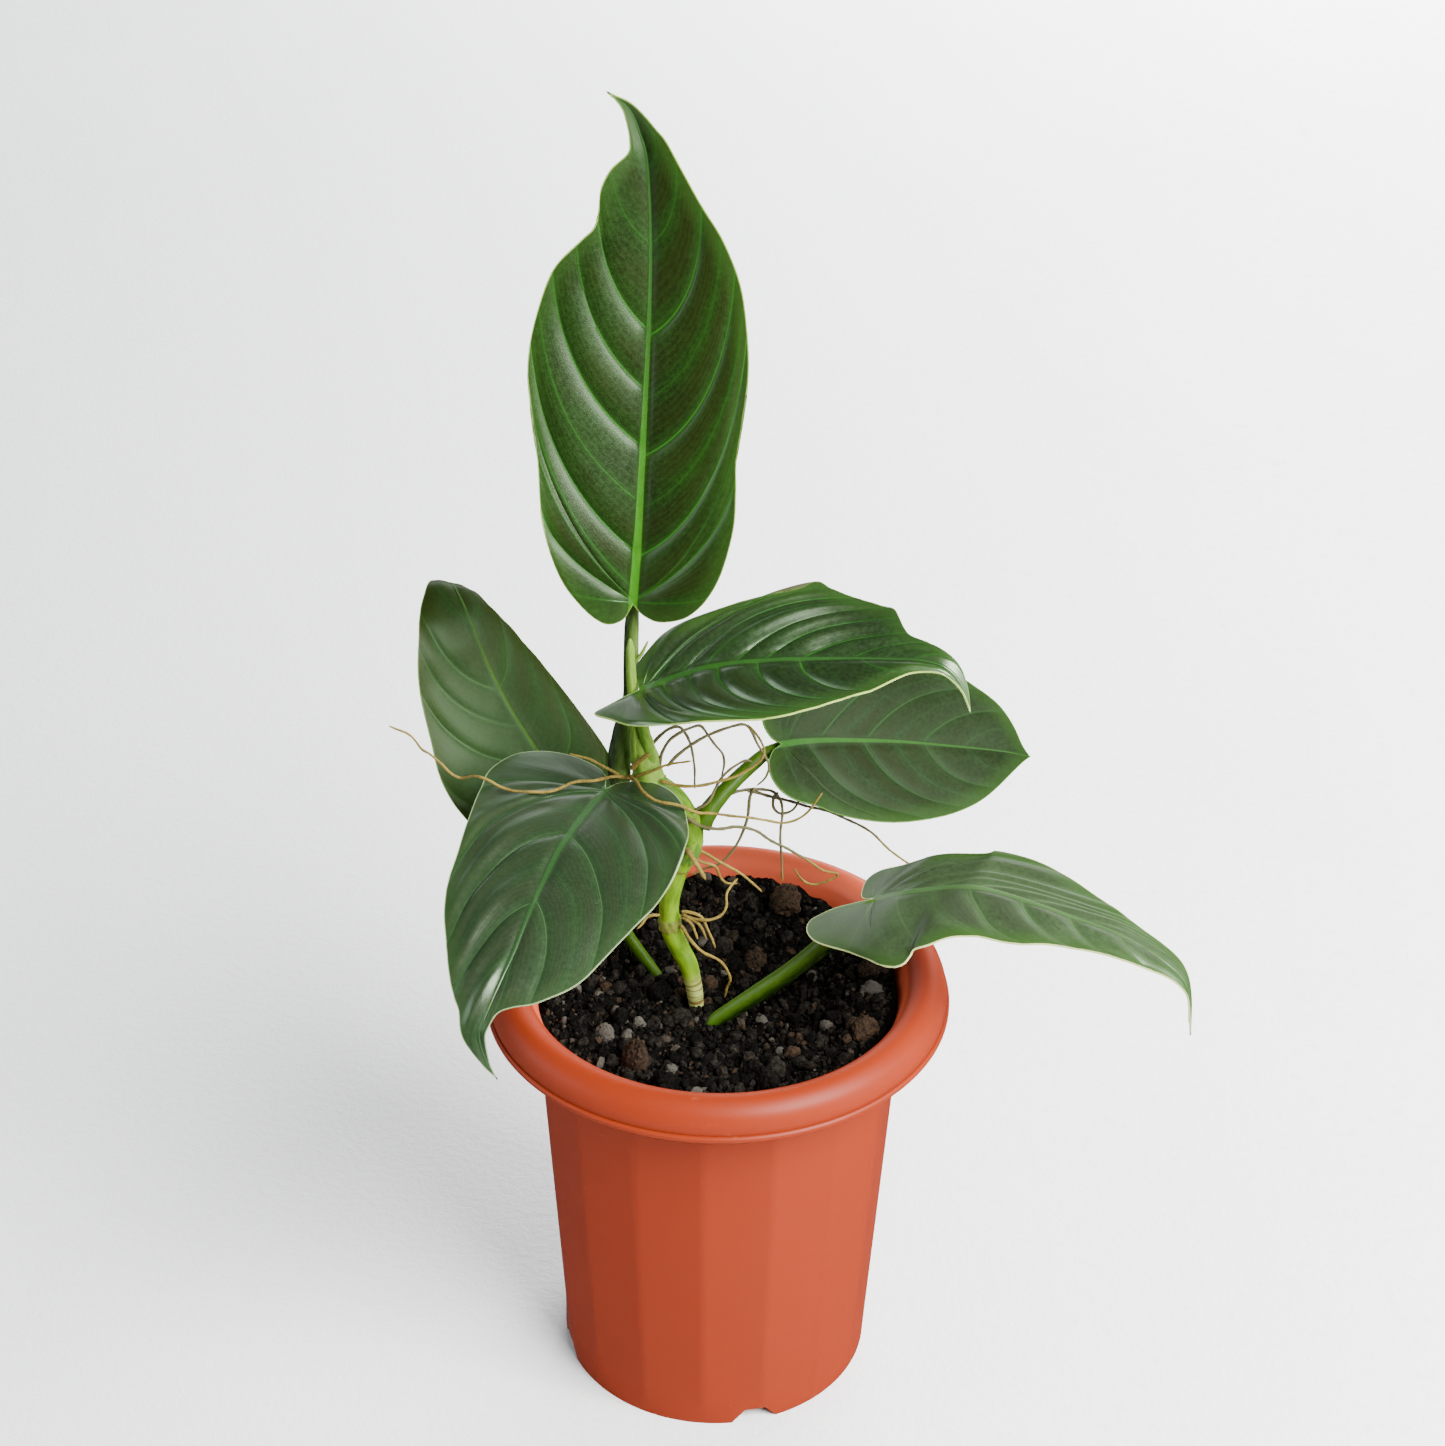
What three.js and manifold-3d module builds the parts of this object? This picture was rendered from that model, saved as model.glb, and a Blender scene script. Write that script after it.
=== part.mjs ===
// Potted philodendron subhastatum: a young plant with six leaves in a fluted plastic pot.
// Millimetres, +Z up. The origin is the centre of the pot's foot, on the surface it stands on.
// The plant's front faces -Y.

import * as THREE from 'three';
import { mergeVertices } from 'three/addons/utils/BufferGeometryUtils.js';
import Module from 'manifold-3d';

const wasm = await Module();
wasm.setup();

// Pot
const POT = {
  footRadius: 51,
  wallTopRadius: 60,
  wallTopHeight: 139,
  wallThickness: 1.8,
  lipRadius: 75,
  floorUnderside: 6,
  floorTop: 8,
  padRadius: 12,
  panels: 16,
  stepsPerPanel: 3,
  firstRidgeDegrees: -4,
  panelFadeHeight: 8,
  notches: 4,
  firstNotchDegrees: 15.5,
  notchFootWidth: 17,
  notchTopWidth: 7,
  notchHeight: 5.2,
  drainHoles: 8,
  drainHoleRadius: 4.5,
  drainHoleCircle: 31,
};

// Soil
const SOIL = {
  centreHeight: 137.5,
  edgeHeight: 139.5,
  spokes: 36,
  rings: 8,
  unevenness: 0.8,
  looseClods: 28,
  clodSeed: 11,
};

// Clods that stand out from the rest: x, y, radius
const LARGE_CLODS = [
  [19, 26, 5.5],
  [-24, -23, 4.6],
  [42, -17, 3.8],
  [-19, 1.5, 4.4],
  [33, 33, 4.6],
  [51, 0, 3.6],
  [-33, -8, 3.6],
  [6, -30, 3.6],
];

// Clearance that pieces keep from each other
const CLEARANCE = 0.3;

// Leaf blades
const BLADE = {
  thickness: 0.8,
  rows: 24,
  columns: 4,
  veinSweep: 2.5,
  veinReach: 0.92,
  veinRise: 0.47,
  sideVeins: 8,
  quiltDepth: 0.45,
};

// Each leaf's midrib runs from the petiole to the tip. facing is the way the upper side looks at
// the base, middle and tip. fold and curl are degrees of cross-section bend, base to tip, for the
// left and right halves. left and right are margins as [across, along] from the petiole to the tip.
const LEAVES = [
  {
    name: 'leaf_1',
    midrib: [[-27, 8, 282], [-25.5, 13, 301.5], [-24, 22, 330.5], [-22.5, 31, 362.5], [-22, 37, 389],
      [-23, 41, 411], [-25, 42.5, 419.5], [-28.5, 43.5, 427.5], [-35, 44, 432.5]],
    facing: [[0, -1, 0.3], [0, -1, 0.3], [0, -1, 0.3]],
    fold: { left: [22, 20, 18, 20], right: [22, 20, 18, 20] },
    curl: { left: [-10, -15, -15, -10], right: [-10, -15, -15, -10] },
    halfWidth: 34,
    left: [[0, 0], [3, -5], [9, -6], [17, 0], [25, 11], [30, 26], [32, 44], [35, 62], [36, 74],
      [34, 88], [29, 103], [21, 112], [17, 116], [15.5, 121], [14.5, 128], [11, 134], [5.5, 138.5],
      [3.5, 143], [2.5, 149], [1.2, 154], [0, 158]],
    right: [[0, 0], [4, -3], [10, -4], [19, 0], [26, 11], [29.5, 26], [29.5, 38], [29, 47], [30, 58],
      [31, 73], [30, 85], [27.5, 99], [22, 112], [16, 121.5], [12, 129], [8, 137], [4.5, 145],
      [2, 151], [0, 158]],
    petiole: [[-30.5, 0, 221], [-32.5, 1, 226.5], [-33.5, 3, 236], [-32, 5, 245], [-30, 7.5, 255.5],
      [-28.2, 9.5, 267.5], [-27, 10.5, 279], [-26.5, 13, 288]],
    petioleRadii: [3.4, 3.5, 3.4, 3, 2.7, 2.5, 2.2, 1.6],
  },
  {
    name: 'leaf_2',
    midrib: [[-42, 24, 192], [-50, 28, 200.5], [-59, 34, 211], [-71, 42, 229.5], [-80, 50, 250.5],
      [-85, 57, 255], [-88, 66, 253.5], [-89, 76, 246], [-89, 85, 235.5]],
    facing: [[0.3, -0.7, 0.7], [0.3, -0.7, 0.7], [0.1, -0.4, 1]],
    fold: { left: [5, 5, 5, 0], right: [-15, -25, -25, -10] },
    curl: { left: [-10, -10, -10, -10], right: [-15, -15, -15, -10] },
    halfWidth: 27,
    left: [[0, 0], [4, -6], [12, -9], [21, -5], [28, 6], [32, 23], [32, 36], [28, 48.5], [25, 59],
      [21, 70], [14.5, 82], [9, 90], [5, 99], [2, 108], [0, 121]],
    right: [[0, 0], [4, -6], [11, -8], [18, -3], [24, 9], [28, 22], [29, 35], [25.5, 49], [19, 62],
      [12, 76], [7.5, 88], [4, 99], [2, 108], [0, 121]],
    petiole: [[-14, 12, 128], [-20, 14.4, 137], [-30, 19, 150.5], [-37, 22, 165.6], [-41.5, 25, 180],
      [-43, 27, 189.5], [-47, 28.5, 195]],
    petioleRadii: [1.7, 1.8, 2, 2, 2, 1.9, 1.4],
  },
  {
    name: 'leaf_3',
    midrib: [[-35, -12, 227.5], [-41, -28, 229], [-47, -46, 230], [-51.5, -60, 227.5], [-55, -74, 226.5],
      [-59, -88, 222], [-62.5, -97, 218], [-66.5, -104, 211], [-68.5, -107, 205.5],
      [-66.5, -108, 197], [-63.5, -108, 190.5]],
    facing: [[0, -0.2, 1], [0, -0.3, 1], [-0.2, -0.7, 0.5]],
    fold: { left: [5, 5, 0, 0], right: [5, 5, 0, 0] },
    curl: { left: [-15, -15, -15, -10], right: [-15, -15, -15, -10] },
    halfWidth: 36,
    left: [[0, 0], [2, -5], [8, -9.5], [15, -10], [22, -6], [28.5, 3], [33, 17], [35.5, 36], [34, 50],
      [30, 64], [25, 77], [20.5, 86], [13, 93.5], [6.5, 97.5], [3, 101], [2.2, 107], [1.6, 113],
      [0, 124]],
    right: [[0, 0], [4, -8], [10, -11], [18, -12.5], [27, -11], [34, -5.5], [36.5, 6], [34, 18],
      [30.5, 35], [28.5, 47], [27, 60], [24.5, 72], [19, 87], [14, 97], [9, 103], [5, 109],
      [2.5, 115], [0, 124]],
    petiole: [[-11, -1, 197.5], [-15, -7, 209], [-21.5, -11, 219], [-29, -13, 223.3],
      [-36.5, -16, 225.5]],
    petioleRadii: [2.2, 2.2, 2.1, 2, 1.5],
  },
  {
    name: 'leaf_4',
    midrib: [[-24.5, -8, 261], [-9.5, -11, 269.5], [2.5, -14, 274.5], [17.5, -17, 278], [35.5, -20, 280.5],
      [50, -24, 283], [59, -27, 284.5], [66.5, -29.5, 283.5], [71.5, -31, 277.5], [74, -32, 269]],
    facing: [[0, -0.1, 1], [0, -0.15, 1], [0.3, -0.3, 0.6]],
    fold: { left: [20, 20, 15, 0], right: [0, 0, 0, 0] },
    curl: { left: [-10, -10, -10, -10], right: [-10, -10, -10, -10] },
    halfWidth: 30,
    left: [[0, 0], [4, -1], [9, -1.5], [14, 3], [18.5, 9], [21, 20], [23.5, 34], [25.5, 45], [27, 51],
      [29.5, 55.5], [26.5, 60], [23, 67], [20.5, 73], [18.5, 78], [12, 82], [8.5, 85], [6.5, 91],
      [4.5, 97], [3, 102], [1.5, 107], [0, 114]],
    right: [[0, 0], [0.5, -5], [2, -12], [4, -15.5], [10, -8.5], [16, -1], [20, 7], [24, 21],
      [25.5, 36], [25, 47], [22, 57], [18, 68], [14, 77], [9, 84], [6, 89], [4, 95], [2.5, 102],
      [1.2, 107], [0, 114]],
    petiole: [[-21, -3, 229.5], [-22.7, -4, 240], [-24, -6.5, 250], [-22.7, -8.6, 258], [-19, -9.2, 261.5]],
    petioleRadii: [2, 1.9, 1.8, 1.7, 1.3],
  },
  {
    name: 'leaf_5',
    midrib: [[19, 20, 224], [28.5, 26, 221.5], [41.5, 32, 218], [58, 40, 212.5], [74.5, 48, 206],
      [92, 56, 199], [102.5, 61, 193.5]],
    facing: [[0.3, -0.6, 0.8], [0.3, -0.6, 0.8], [0.3, -0.6, 0.8]],
    fold: { left: [10, 10, 5, 5], right: [5, 5, 5, 5] },
    curl: { left: [-10, -10, -10, -10], right: [-10, -10, -10, -10] },
    halfWidth: 28,
    left: [[0, 0], [3, -3.5], [8, -5], [15, -3], [22, 4], [27, 15], [29.5, 28], [30.5, 42], [29.5, 56],
      [26.5, 68], [21.5, 78], [16, 86], [9.5, 91], [3.5, 94.5], [0, 98]],
    right: [[0, 0], [2, -4], [6, -7], [11, -7.5], [16, -5], [20, 1], [24, 13], [27, 27], [27.5, 41],
      [25, 57], [21, 69], [16, 78], [8.5, 87.5], [3, 94], [0, 98]],
    petiole: [[-6, 1, 204], [-2.5, 4, 213], [4.5, 9, 219.5], [12.5, 15.5, 224.5], [18, 21, 222.5],
      [22.5, 24, 220.5]],
    petioleRadii: [3.5, 3.5, 3.3, 2.2, 1.8, 1.3],
  },
  {
    name: 'leaf_6',
    midrib: [[48.5, -12, 187], [58, -15, 192], [68.5, -18, 196], [77.5, -22, 199.5], [86.5, -25, 199.5],
      [98.5, -30, 198.5], [111, -34, 196], [123, -38, 193.5], [132, -40, 189], [139, -42, 184.5],
      [143.5, -43.5, 179.5], [145.5, -44, 172.5], [146.5, -45, 160.5]],
    facing: [[0, -0.05, 1], [0, -0.1, 1], [0.1, -0.15, 0.9], [0.5, -0.2, 0.6]],
    fold: { left: [-5, -5, -5, -5], right: [5, 5, 5, 5] },
    curl: { left: [-10, -10, -10, -10], right: [-15, -10, -10, -10] },
    halfWidth: 30,
    left: [[0, 0], [3, -5], [9, -7], [17, -8], [22, -5], [22, 3], [22.5, 14], [23, 27], [23.5, 40],
      [22.5, 50], [19.5, 61], [14, 72], [9, 84], [7, 94], [6, 102], [4, 108], [2, 114], [0, 127]],
    right: [[0, 0], [-0.5, -6], [0, -14], [3, -20.5], [8, -21.5], [14, -18.5], [19, -13], [25, -3],
      [31, 6], [35.5, 13], [35, 18], [32, 22], [30.5, 30], [25, 35], [22.5, 43], [21, 53], [16, 63],
      [13, 73], [11, 82], [9, 91], [6, 100], [4, 107], [2, 114], [0, 127]],
    petiole: [[-4.5, -8.5, 131], [1, -8.5, 137.5], [20, -10, 154.5], [37, -12, 173], [46, -13, 183],
      [53, -14.5, 187.5]],
    petioleRadii: [2.4, 2.7, 3, 3.1, 2.6, 1.6],
  },
];

// Main stem, from below the soil to the crown
const STEM = {
  route: [[-5, -2.5, 112], [-6.4, -2, 136], [-8.4, -1, 144.7], [-10.7, 0, 154], [-14.9, 1, 161],
    [-16.2, 1, 167], [-16.2, 1, 177], [-13.9, 1, 188.5], [-9.5, 1, 198], [-8.5, 0.8, 206],
    [-9.5, 0, 214], [-12.4, -1, 221], [-18, -2, 226.5], [-25, -2, 228], [-29, -2, 227]],
  radii: [2, 2.1, 2.3, 2.4, 2.8, 3.4, 3.1, 3.5, 3.9, 4, 3.6, 3.4, 3.4, 3.5, 2.8],
};

// Young shoot beside the base of leaf_1, with its thin pointed tip
const SHOOT = {
  route: [[-25.5, -1, 229.5], [-26.4, -0.5, 240], [-27.2, -2, 252], [-27.6, -4, 264], [-27.3, -4.5, 278]],
  radii: [1.6, 1.5, 1.5, 1.5, 1.1],
  tipRoute: [[-27.2, -4.5, 268], [-24.2, -5, 272], [-22, -5, 277]],
  tipRadii: [0.8, 0.6, 0.3],
};

// Aerial roots: a bark collar round the stem, and roots that grow out of it
const ROOT_RADIUS = 0.6;
const ROOT_CLUSTERS = [
  {
    name: 'roots_crown',
    collar: [[-16, -1.8, 225.2], [-21.5, -2, 227.6], [-27, -2, 227.8]],
    collarRadius: 4.6,
    roots: [
      [[-26, -4, 228], [-32, -7, 230.5], [-49, -18, 232.5], [-64.5, -19.5, 234], [-80, -14, 232.5],
        [-92, -16, 247], [-100.5, -17, 252.5]],
      [[-25, -5, 227], [-24, -10.5, 229.5], [-20, -15.5, 230], [-12, -17, 228.5], [-5, -9, 218.5],
        [6, -8, 215.5], [20.5, -7, 212], [29, -9, 222], [31.5, -10, 226]],
      [[-26.5, -5, 229], [-33, -6.5, 229.5], [-40, -6.5, 232.5], [-47, -6.5, 236.5]],
      [[-26, -5, 229], [-24.5, -8, 235.5], [-21.5, -9, 239]],
      [[-22, -5.5, 228], [-18.5, -8, 232], [-12.5, -8.5, 235], [-8.5, -8.5, 235.5]],
      [[-18, -5, 226], [-6, -8.5, 227], [3, -6, 228.5], [11, -2, 230.5], [14, 2, 233.5],
        [10.5, 5, 237], [7.5, 6, 240.5]],
      [[-17, -1, 229.5], [-15.5, -1, 239], [-9.5, 3, 240.5], [-5.5, 8, 239.5], [-1.5, 14, 227.5],
        [1, 15, 221], [0, 13, 216]],
      [[-16.5, -3, 228.5], [-12.5, 0, 235.5], [-6.5, 3, 237], [3, 7, 238.5], [8.5, 9, 237],
        [12, 10, 230], [15.5, 9, 223.5], [14.5, 8, 220]],
      [[-18, 2, 228], [-17, 7, 236], [-13, 9, 237], [-9.5, 12, 230.5], [-8.5, 13, 220.5],
        [-8, 12, 211]],
    ],
  },
  {
    name: 'roots_fork',
    collar: [[-12.8, 1, 191], [-10.8, 1, 196], [-9, 1, 201]],
    collarRadius: 4.9,
    roots: [
      [[-8.5, -3, 200], [-7, -6, 211], [-3, -4.5, 219.5], [0.5, 0, 223.5], [4.5, 4, 226.5],
        [8, 6, 227.5], [11.5, 7, 225]],
      [[-9, -3, 200], [-6, -5.5, 207], [3.5, -1, 206.5], [14.5, 9, 196], [29.5, 22, 177],
        [38.5, 28, 169], [31, 26, 166.5], [24, 19, 178]],
      [[-7, 4, 199], [-4, 9.5, 206.5], [6.5, 9, 213], [17.5, 11, 212.5], [20.5, 12, 206],
        [20.5, 12, 190], [21, 12, 176.5]],
      [[8, 9, 213.5], [10.5, 9, 208], [9, 10, 200], [6.5, 10, 192], [0.5, 10, 186.5], [-6, 9, 183.5]],
      [[-9, 3, 193], [-1.5, 7, 185], [2, 9, 181.5], [6.5, 9.5, 178.5]],
      [[-8, 3, 195], [-1.5, 7, 188.5], [6.5, 9.5, 181], [14, 9.5, 174.5]],
      [[17, 11, 212.5], [17, 14, 207], [20, 16, 200.5], [23.5, 17, 202], [25, 17, 206]],
      [[11, 9, 213.5], [22.5, 24, 199.5], [40.5, 32, 188], [49, 33, 182], [56, 32, 175.5],
        [64, 30, 170]],
      [[-9.5, -3, 199], [-7.5, -6.5, 195.5], [-4, -8.5, 191]],
    ],
  },
  {
    name: 'roots_lower',
    collar: [[-16.1, 1, 167.5], [-16.3, 1, 169.5], [-16.3, 1, 171.5]],
    collarRadius: 4.4,
    roots: [
      [[-14, -2, 170.5], [-6, -4, 174.5], [-3.5, -5, 171], [-0.5, -6, 162.5]],
      [[-14, -1, 170.5], [-6, -5, 173.5], [-1, -4, 173], [2.5, 0, 176], [3, 4, 179], [5.5, 6.5, 181.5]],
      [[-14, -2, 169.5], [-9, -4.5, 170.5], [-6.5, -5.5, 165]],
      [[-14, -2, 168.5], [-9, -5, 165.5], [-4, -6, 160.5], [0.5, -6, 156.5], [4, -5, 150],
        [2.5, -4, 141.5]],
      [[-18, -2, 170], [-22, -4, 174], [-26, -6, 169.5]],
    ],
  },
];

const vectors = (points) => points.map(([x, y, z]) => new THREE.Vector3(x, y, z));
const smoothCurve = (points) => new THREE.CatmullRomCurve3(vectors(points), false, 'catmullrom', 0.5);
const radians = THREE.MathUtils.degToRad;
const smoothstep = (value, low, high) => THREE.MathUtils.smoothstep(value, low, high);

// Random numbers from a seed, so that the part is the same each time
function seededRandom(seed) {
  let state = seed;
  return () => {
    state = (state + 0x6d2b79f5) | 0;
    let mixed = Math.imul(state ^ (state >>> 15), 1 | state);
    mixed = (mixed + Math.imul(mixed ^ (mixed >>> 7), 61 | mixed)) ^ mixed;
    return ((mixed ^ (mixed >>> 14)) >>> 0) / 4294967296;
  };
}

// Closed geometry as a solid for joining and cutting
function toSolid(geometry) {
  const bare = new THREE.BufferGeometry();
  bare.setAttribute('position', geometry.getAttribute('position'));
  if (geometry.index) bare.setIndex(geometry.index);
  const merged = mergeVertices(bare, 1e-4);
  const triangles = [];
  const corners = merged.index.array;
  for (let i = 0; i < corners.length; i += 3) {
    const [a, b, c] = [corners[i], corners[i + 1], corners[i + 2]];
    if (a !== b && b !== c && c !== a) triangles.push(a, b, c);
  }
  return new wasm.Manifold(new wasm.Mesh({
    numProp: 3,
    vertProperties: new Float32Array(merged.getAttribute('position').array),
    triVerts: new Uint32Array(triangles),
  }));
}

function toGeometry(solid) {
  const mesh = solid.getMesh();
  const geometry = new THREE.BufferGeometry();
  geometry.setAttribute('position', new THREE.BufferAttribute(mesh.vertProperties, 3));
  geometry.setIndex(new THREE.BufferAttribute(mesh.triVerts, 1));
  geometry.computeVertexNormals();
  return geometry;
}

// The largest body of a solid: cutting can leave a loose scrap
function largestBody(solid) {
  const bodies = solid.decompose();
  return bodies.reduce((best, body) => (body.volume() > best.volume() ? body : best));
}

// Value along evenly spaced stations, with a smooth step from one to the next
function stationAt(stations, fraction) {
  const place = THREE.MathUtils.clamp(fraction, 0, 1) * (stations.length - 1);
  const index = Math.min(Math.floor(place), stations.length - 2);
  const weight = smoothstep(place - index, 0, 1);
  const [from, to] = [stations[index], stations[index + 1]];
  if (Array.isArray(from)) return from.map((value, i) => THREE.MathUtils.lerp(value, to[i], weight));
  return THREE.MathUtils.lerp(from, to, weight);
}

// A round limb along a route whose radius changes from station to station. A thin tube is
// extruded along the route, and each of its rings is then spread to the radius at that place.
function limb(route, radii, { sides = 8, spacing = 6, extra = 0 } = {}) {
  const curve = smoothCurve(route);
  const steps = Math.max(3, Math.round(curve.getLength() / spacing));
  const coreRadius = 0.2;
  const section = new THREE.Shape();
  for (let i = 0; i < sides; i++) {
    const angle = (i / sides) * 2 * Math.PI;
    const corner = [coreRadius * Math.cos(angle), coreRadius * Math.sin(angle)];
    if (i === 0) section.moveTo(...corner);
    else section.lineTo(...corner);
  }
  const geometry = new THREE.ExtrudeGeometry(section, { steps, extrudePath: curve, bevelEnabled: false });
  const centres = curve.getSpacedPoints(steps);
  const positions = geometry.getAttribute('position');
  const vertex = new THREE.Vector3();
  for (let i = 0; i < positions.count; i++) {
    vertex.fromBufferAttribute(positions, i);
    let nearest = 0;
    for (let k = 1; k <= steps; k++) {
      if (vertex.distanceToSquared(centres[k]) < vertex.distanceToSquared(centres[nearest])) nearest = k;
    }
    const radius = radiusAlong(curve, radii, nearest / steps) + extra;
    vertex.sub(centres[nearest]).multiplyScalar(radius / coreRadius).add(centres[nearest]);
    positions.setXYZ(i, vertex.x, vertex.y, vertex.z);
  }
  return toSolid(geometry);
}

// Radius at a fraction of the route's length, where each station belongs to a point of the route
function radiusAlong(curve, radii, fraction) {
  return stationAt(radii, curve.getUtoTmapping(fraction));
}

// Cross-section frame of a leaf at a distance along its midrib
class LeafSurface {
  constructor(leaf) {
    this.leaf = leaf;
    this.curve = smoothCurve(leaf.midrib);
    this.curve.arcLengthDivisions = 400;
    this.length = this.curve.getLength();
  }

  frame(along) {
    const fraction = THREE.MathUtils.clamp(along / this.length, 0, 1);
    const centre = this.curve.getPointAt(fraction);
    const tangent = this.curve.getTangentAt(THREE.MathUtils.clamp(fraction, 0.006, 0.994));
    const overrun = along - fraction * this.length;
    centre.addScaledVector(tangent, overrun);
    const normal = new THREE.Vector3(...stationAt(this.leaf.facing, fraction));
    normal.addScaledVector(tangent, -normal.dot(tangent)).normalize();
    const across = new THREE.Vector3().crossVectors(tangent, normal);
    return { centre, normal, across, fraction };
  }

  // Point and outward normal of the upper side, lift above the middle of the blade
  point(side, across, along, lift) {
    const frame = this.frame(along);
    const sign = side === 'left' ? -1 : 1;
    const fold = radians(stationAt(this.leaf.fold[side], frame.fraction));
    const curl = radians(stationAt(this.leaf.curl[side], frame.fraction));
    const turn = fold + (curl * across) / this.leaf.halfWidth;
    const radius = this.leaf.halfWidth / curl;
    const sideways = radius * (Math.sin(turn) - Math.sin(fold)) - Math.sin(turn) * lift;
    const upward = radius * (Math.cos(fold) - Math.cos(turn)) + Math.cos(turn) * lift;
    return frame.centre.clone()
      .addScaledVector(frame.across, sign * sideways)
      .addScaledVector(frame.normal, upward);
  }

  // Flat outline of one half as evenly spaced [across, along] pairs
  margin(side, fraction) {
    const key = `${side}Margin`;
    if (!this[key]) {
      this[key] = smoothCurve(this.leaf[side].map(([across, along]) => [across, along, 0]));
      this[key].arcLengthDivisions = 400;
    }
    const point = this[key].getPointAt(fraction);
    return [point.x, point.y];
  }

  // Row of the blade that follows a side vein, from the midrib to the margin
  row(side, marginFraction, columns) {
    const start = this.length * marginFraction ** BLADE.veinSweep;
    const [edgeAcross, edgeAlong] = this.margin(side, marginFraction);
    const bendAcross = edgeAcross * BLADE.veinReach;
    const bendAlong = start + (edgeAlong - start) * BLADE.veinRise;
    const points = [];
    for (let c = 0; c <= columns; c++) {
      const t = c / columns;
      const across = 2 * t * (1 - t) * bendAcross + t * t * edgeAcross;
      const along = (1 - t) ** 2 * start + 2 * t * (1 - t) * bendAlong + t * t * edgeAlong;
      points.push([across, along]);
    }
    return points;
  }
}

// The blade puffs up between its side veins
function quilt(marginFraction, columnFraction) {
  const wave = Math.abs(Math.sin(Math.PI * BLADE.sideVeins * marginFraction));
  const fade = Math.sin(Math.PI * columnFraction) * Math.sin(Math.PI * marginFraction);
  return BLADE.quiltDepth * (wave - 0.5) * fade;
}

// Closed blade: upper and lower faces of like triangles, joined round the margin
function bladeSolid(surface, thickness, grow = 0) {
  const { rows, columns } = BLADE;
  const positions = [];
  const triangles = [];
  const add = (point) => positions.push(point.x, point.y, point.z) / 3 - 1;
  const both = (side, across, along, bump) => [
    add(surface.point(side, across, along, bump + thickness / 2)),
    add(surface.point(side, across, along, bump - thickness / 2)),
  ];
  const insertion = both('right', 0, -grow, 0);
  const tip = both('right', 0, surface.length + grow, 0);
  const rowFraction = (r) => 0.5 * (r / rows) + 0.5 * Math.sin((Math.PI / 2) * (r / rows));
  const midrib = [];
  for (let r = 0; r <= rows; r++) {
    if (r === 0) midrib.push(insertion);
    else if (r === rows) midrib.push(tip);
    else midrib.push(both('right', 0, surface.length * rowFraction(r) ** BLADE.veinSweep, 0));
  }
  for (const side of ['left', 'right']) {
    const grid = midrib.map((start, r) => {
      if (r === 0 || r === rows) return null;
      const fraction = rowFraction(r);
      const flat = surface.row(side, fraction, columns);
      return flat.map(([across, along], c) => {
        if (c === 0) return start;
        const column = c / columns;
        return both(side, across + grow * column, along, quilt(fraction, column));
      });
    });
    const face = (a, b, c) => {
      const [upper, lower] = side === 'right' ? [[a, b, c], [a, c, b]] : [[a, c, b], [a, b, c]];
      triangles.push(...upper.map((corner) => corner[0]), ...lower.map((corner) => corner[1]));
    };
    const edge = (a, b) => {
      const quad = side === 'right'
        ? [a[1], b[1], a[0], b[1], b[0], a[0]]
        : [a[1], a[0], b[1], b[1], a[0], b[0]];
      triangles.push(...quad);
    };
    for (let c = 0; c < columns; c++) {
      face(insertion, grid[1][c + 1], grid[1][c]);
      for (let r = 1; r < rows - 1; r++) {
        face(grid[r][c], grid[r][c + 1], grid[r + 1][c]);
        face(grid[r][c + 1], grid[r + 1][c + 1], grid[r + 1][c]);
      }
      face(grid[rows - 1][c], grid[rows - 1][c + 1], tip);
    }
    edge(insertion, grid[1][columns]);
    for (let r = 1; r < rows - 1; r++) edge(grid[r][columns], grid[r + 1][columns]);
    edge(grid[rows - 1][columns], tip);
  }
  const geometry = new THREE.BufferGeometry();
  geometry.setAttribute('position', new THREE.Float32BufferAttribute(positions, 3));
  geometry.setIndex(triangles);
  return toSolid(geometry);
}

const wallRadius = (height) => THREE.MathUtils.lerp(
  POT.footRadius,
  POT.wallTopRadius,
  height / POT.wallTopHeight,
);
const innerRadius = (height) => wallRadius(height) - POT.wallThickness;

// Turned body from a profile of [radius, height] points, standing on +Z
function turned(profile, spokes, startDegrees) {
  const points = profile.map(([radius, height]) => new THREE.Vector2(radius, height));
  const geometry = new THREE.LatheGeometry(points, spokes, radians(startDegrees), 2 * Math.PI);
  return geometry.rotateX(Math.PI / 2);
}

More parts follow.
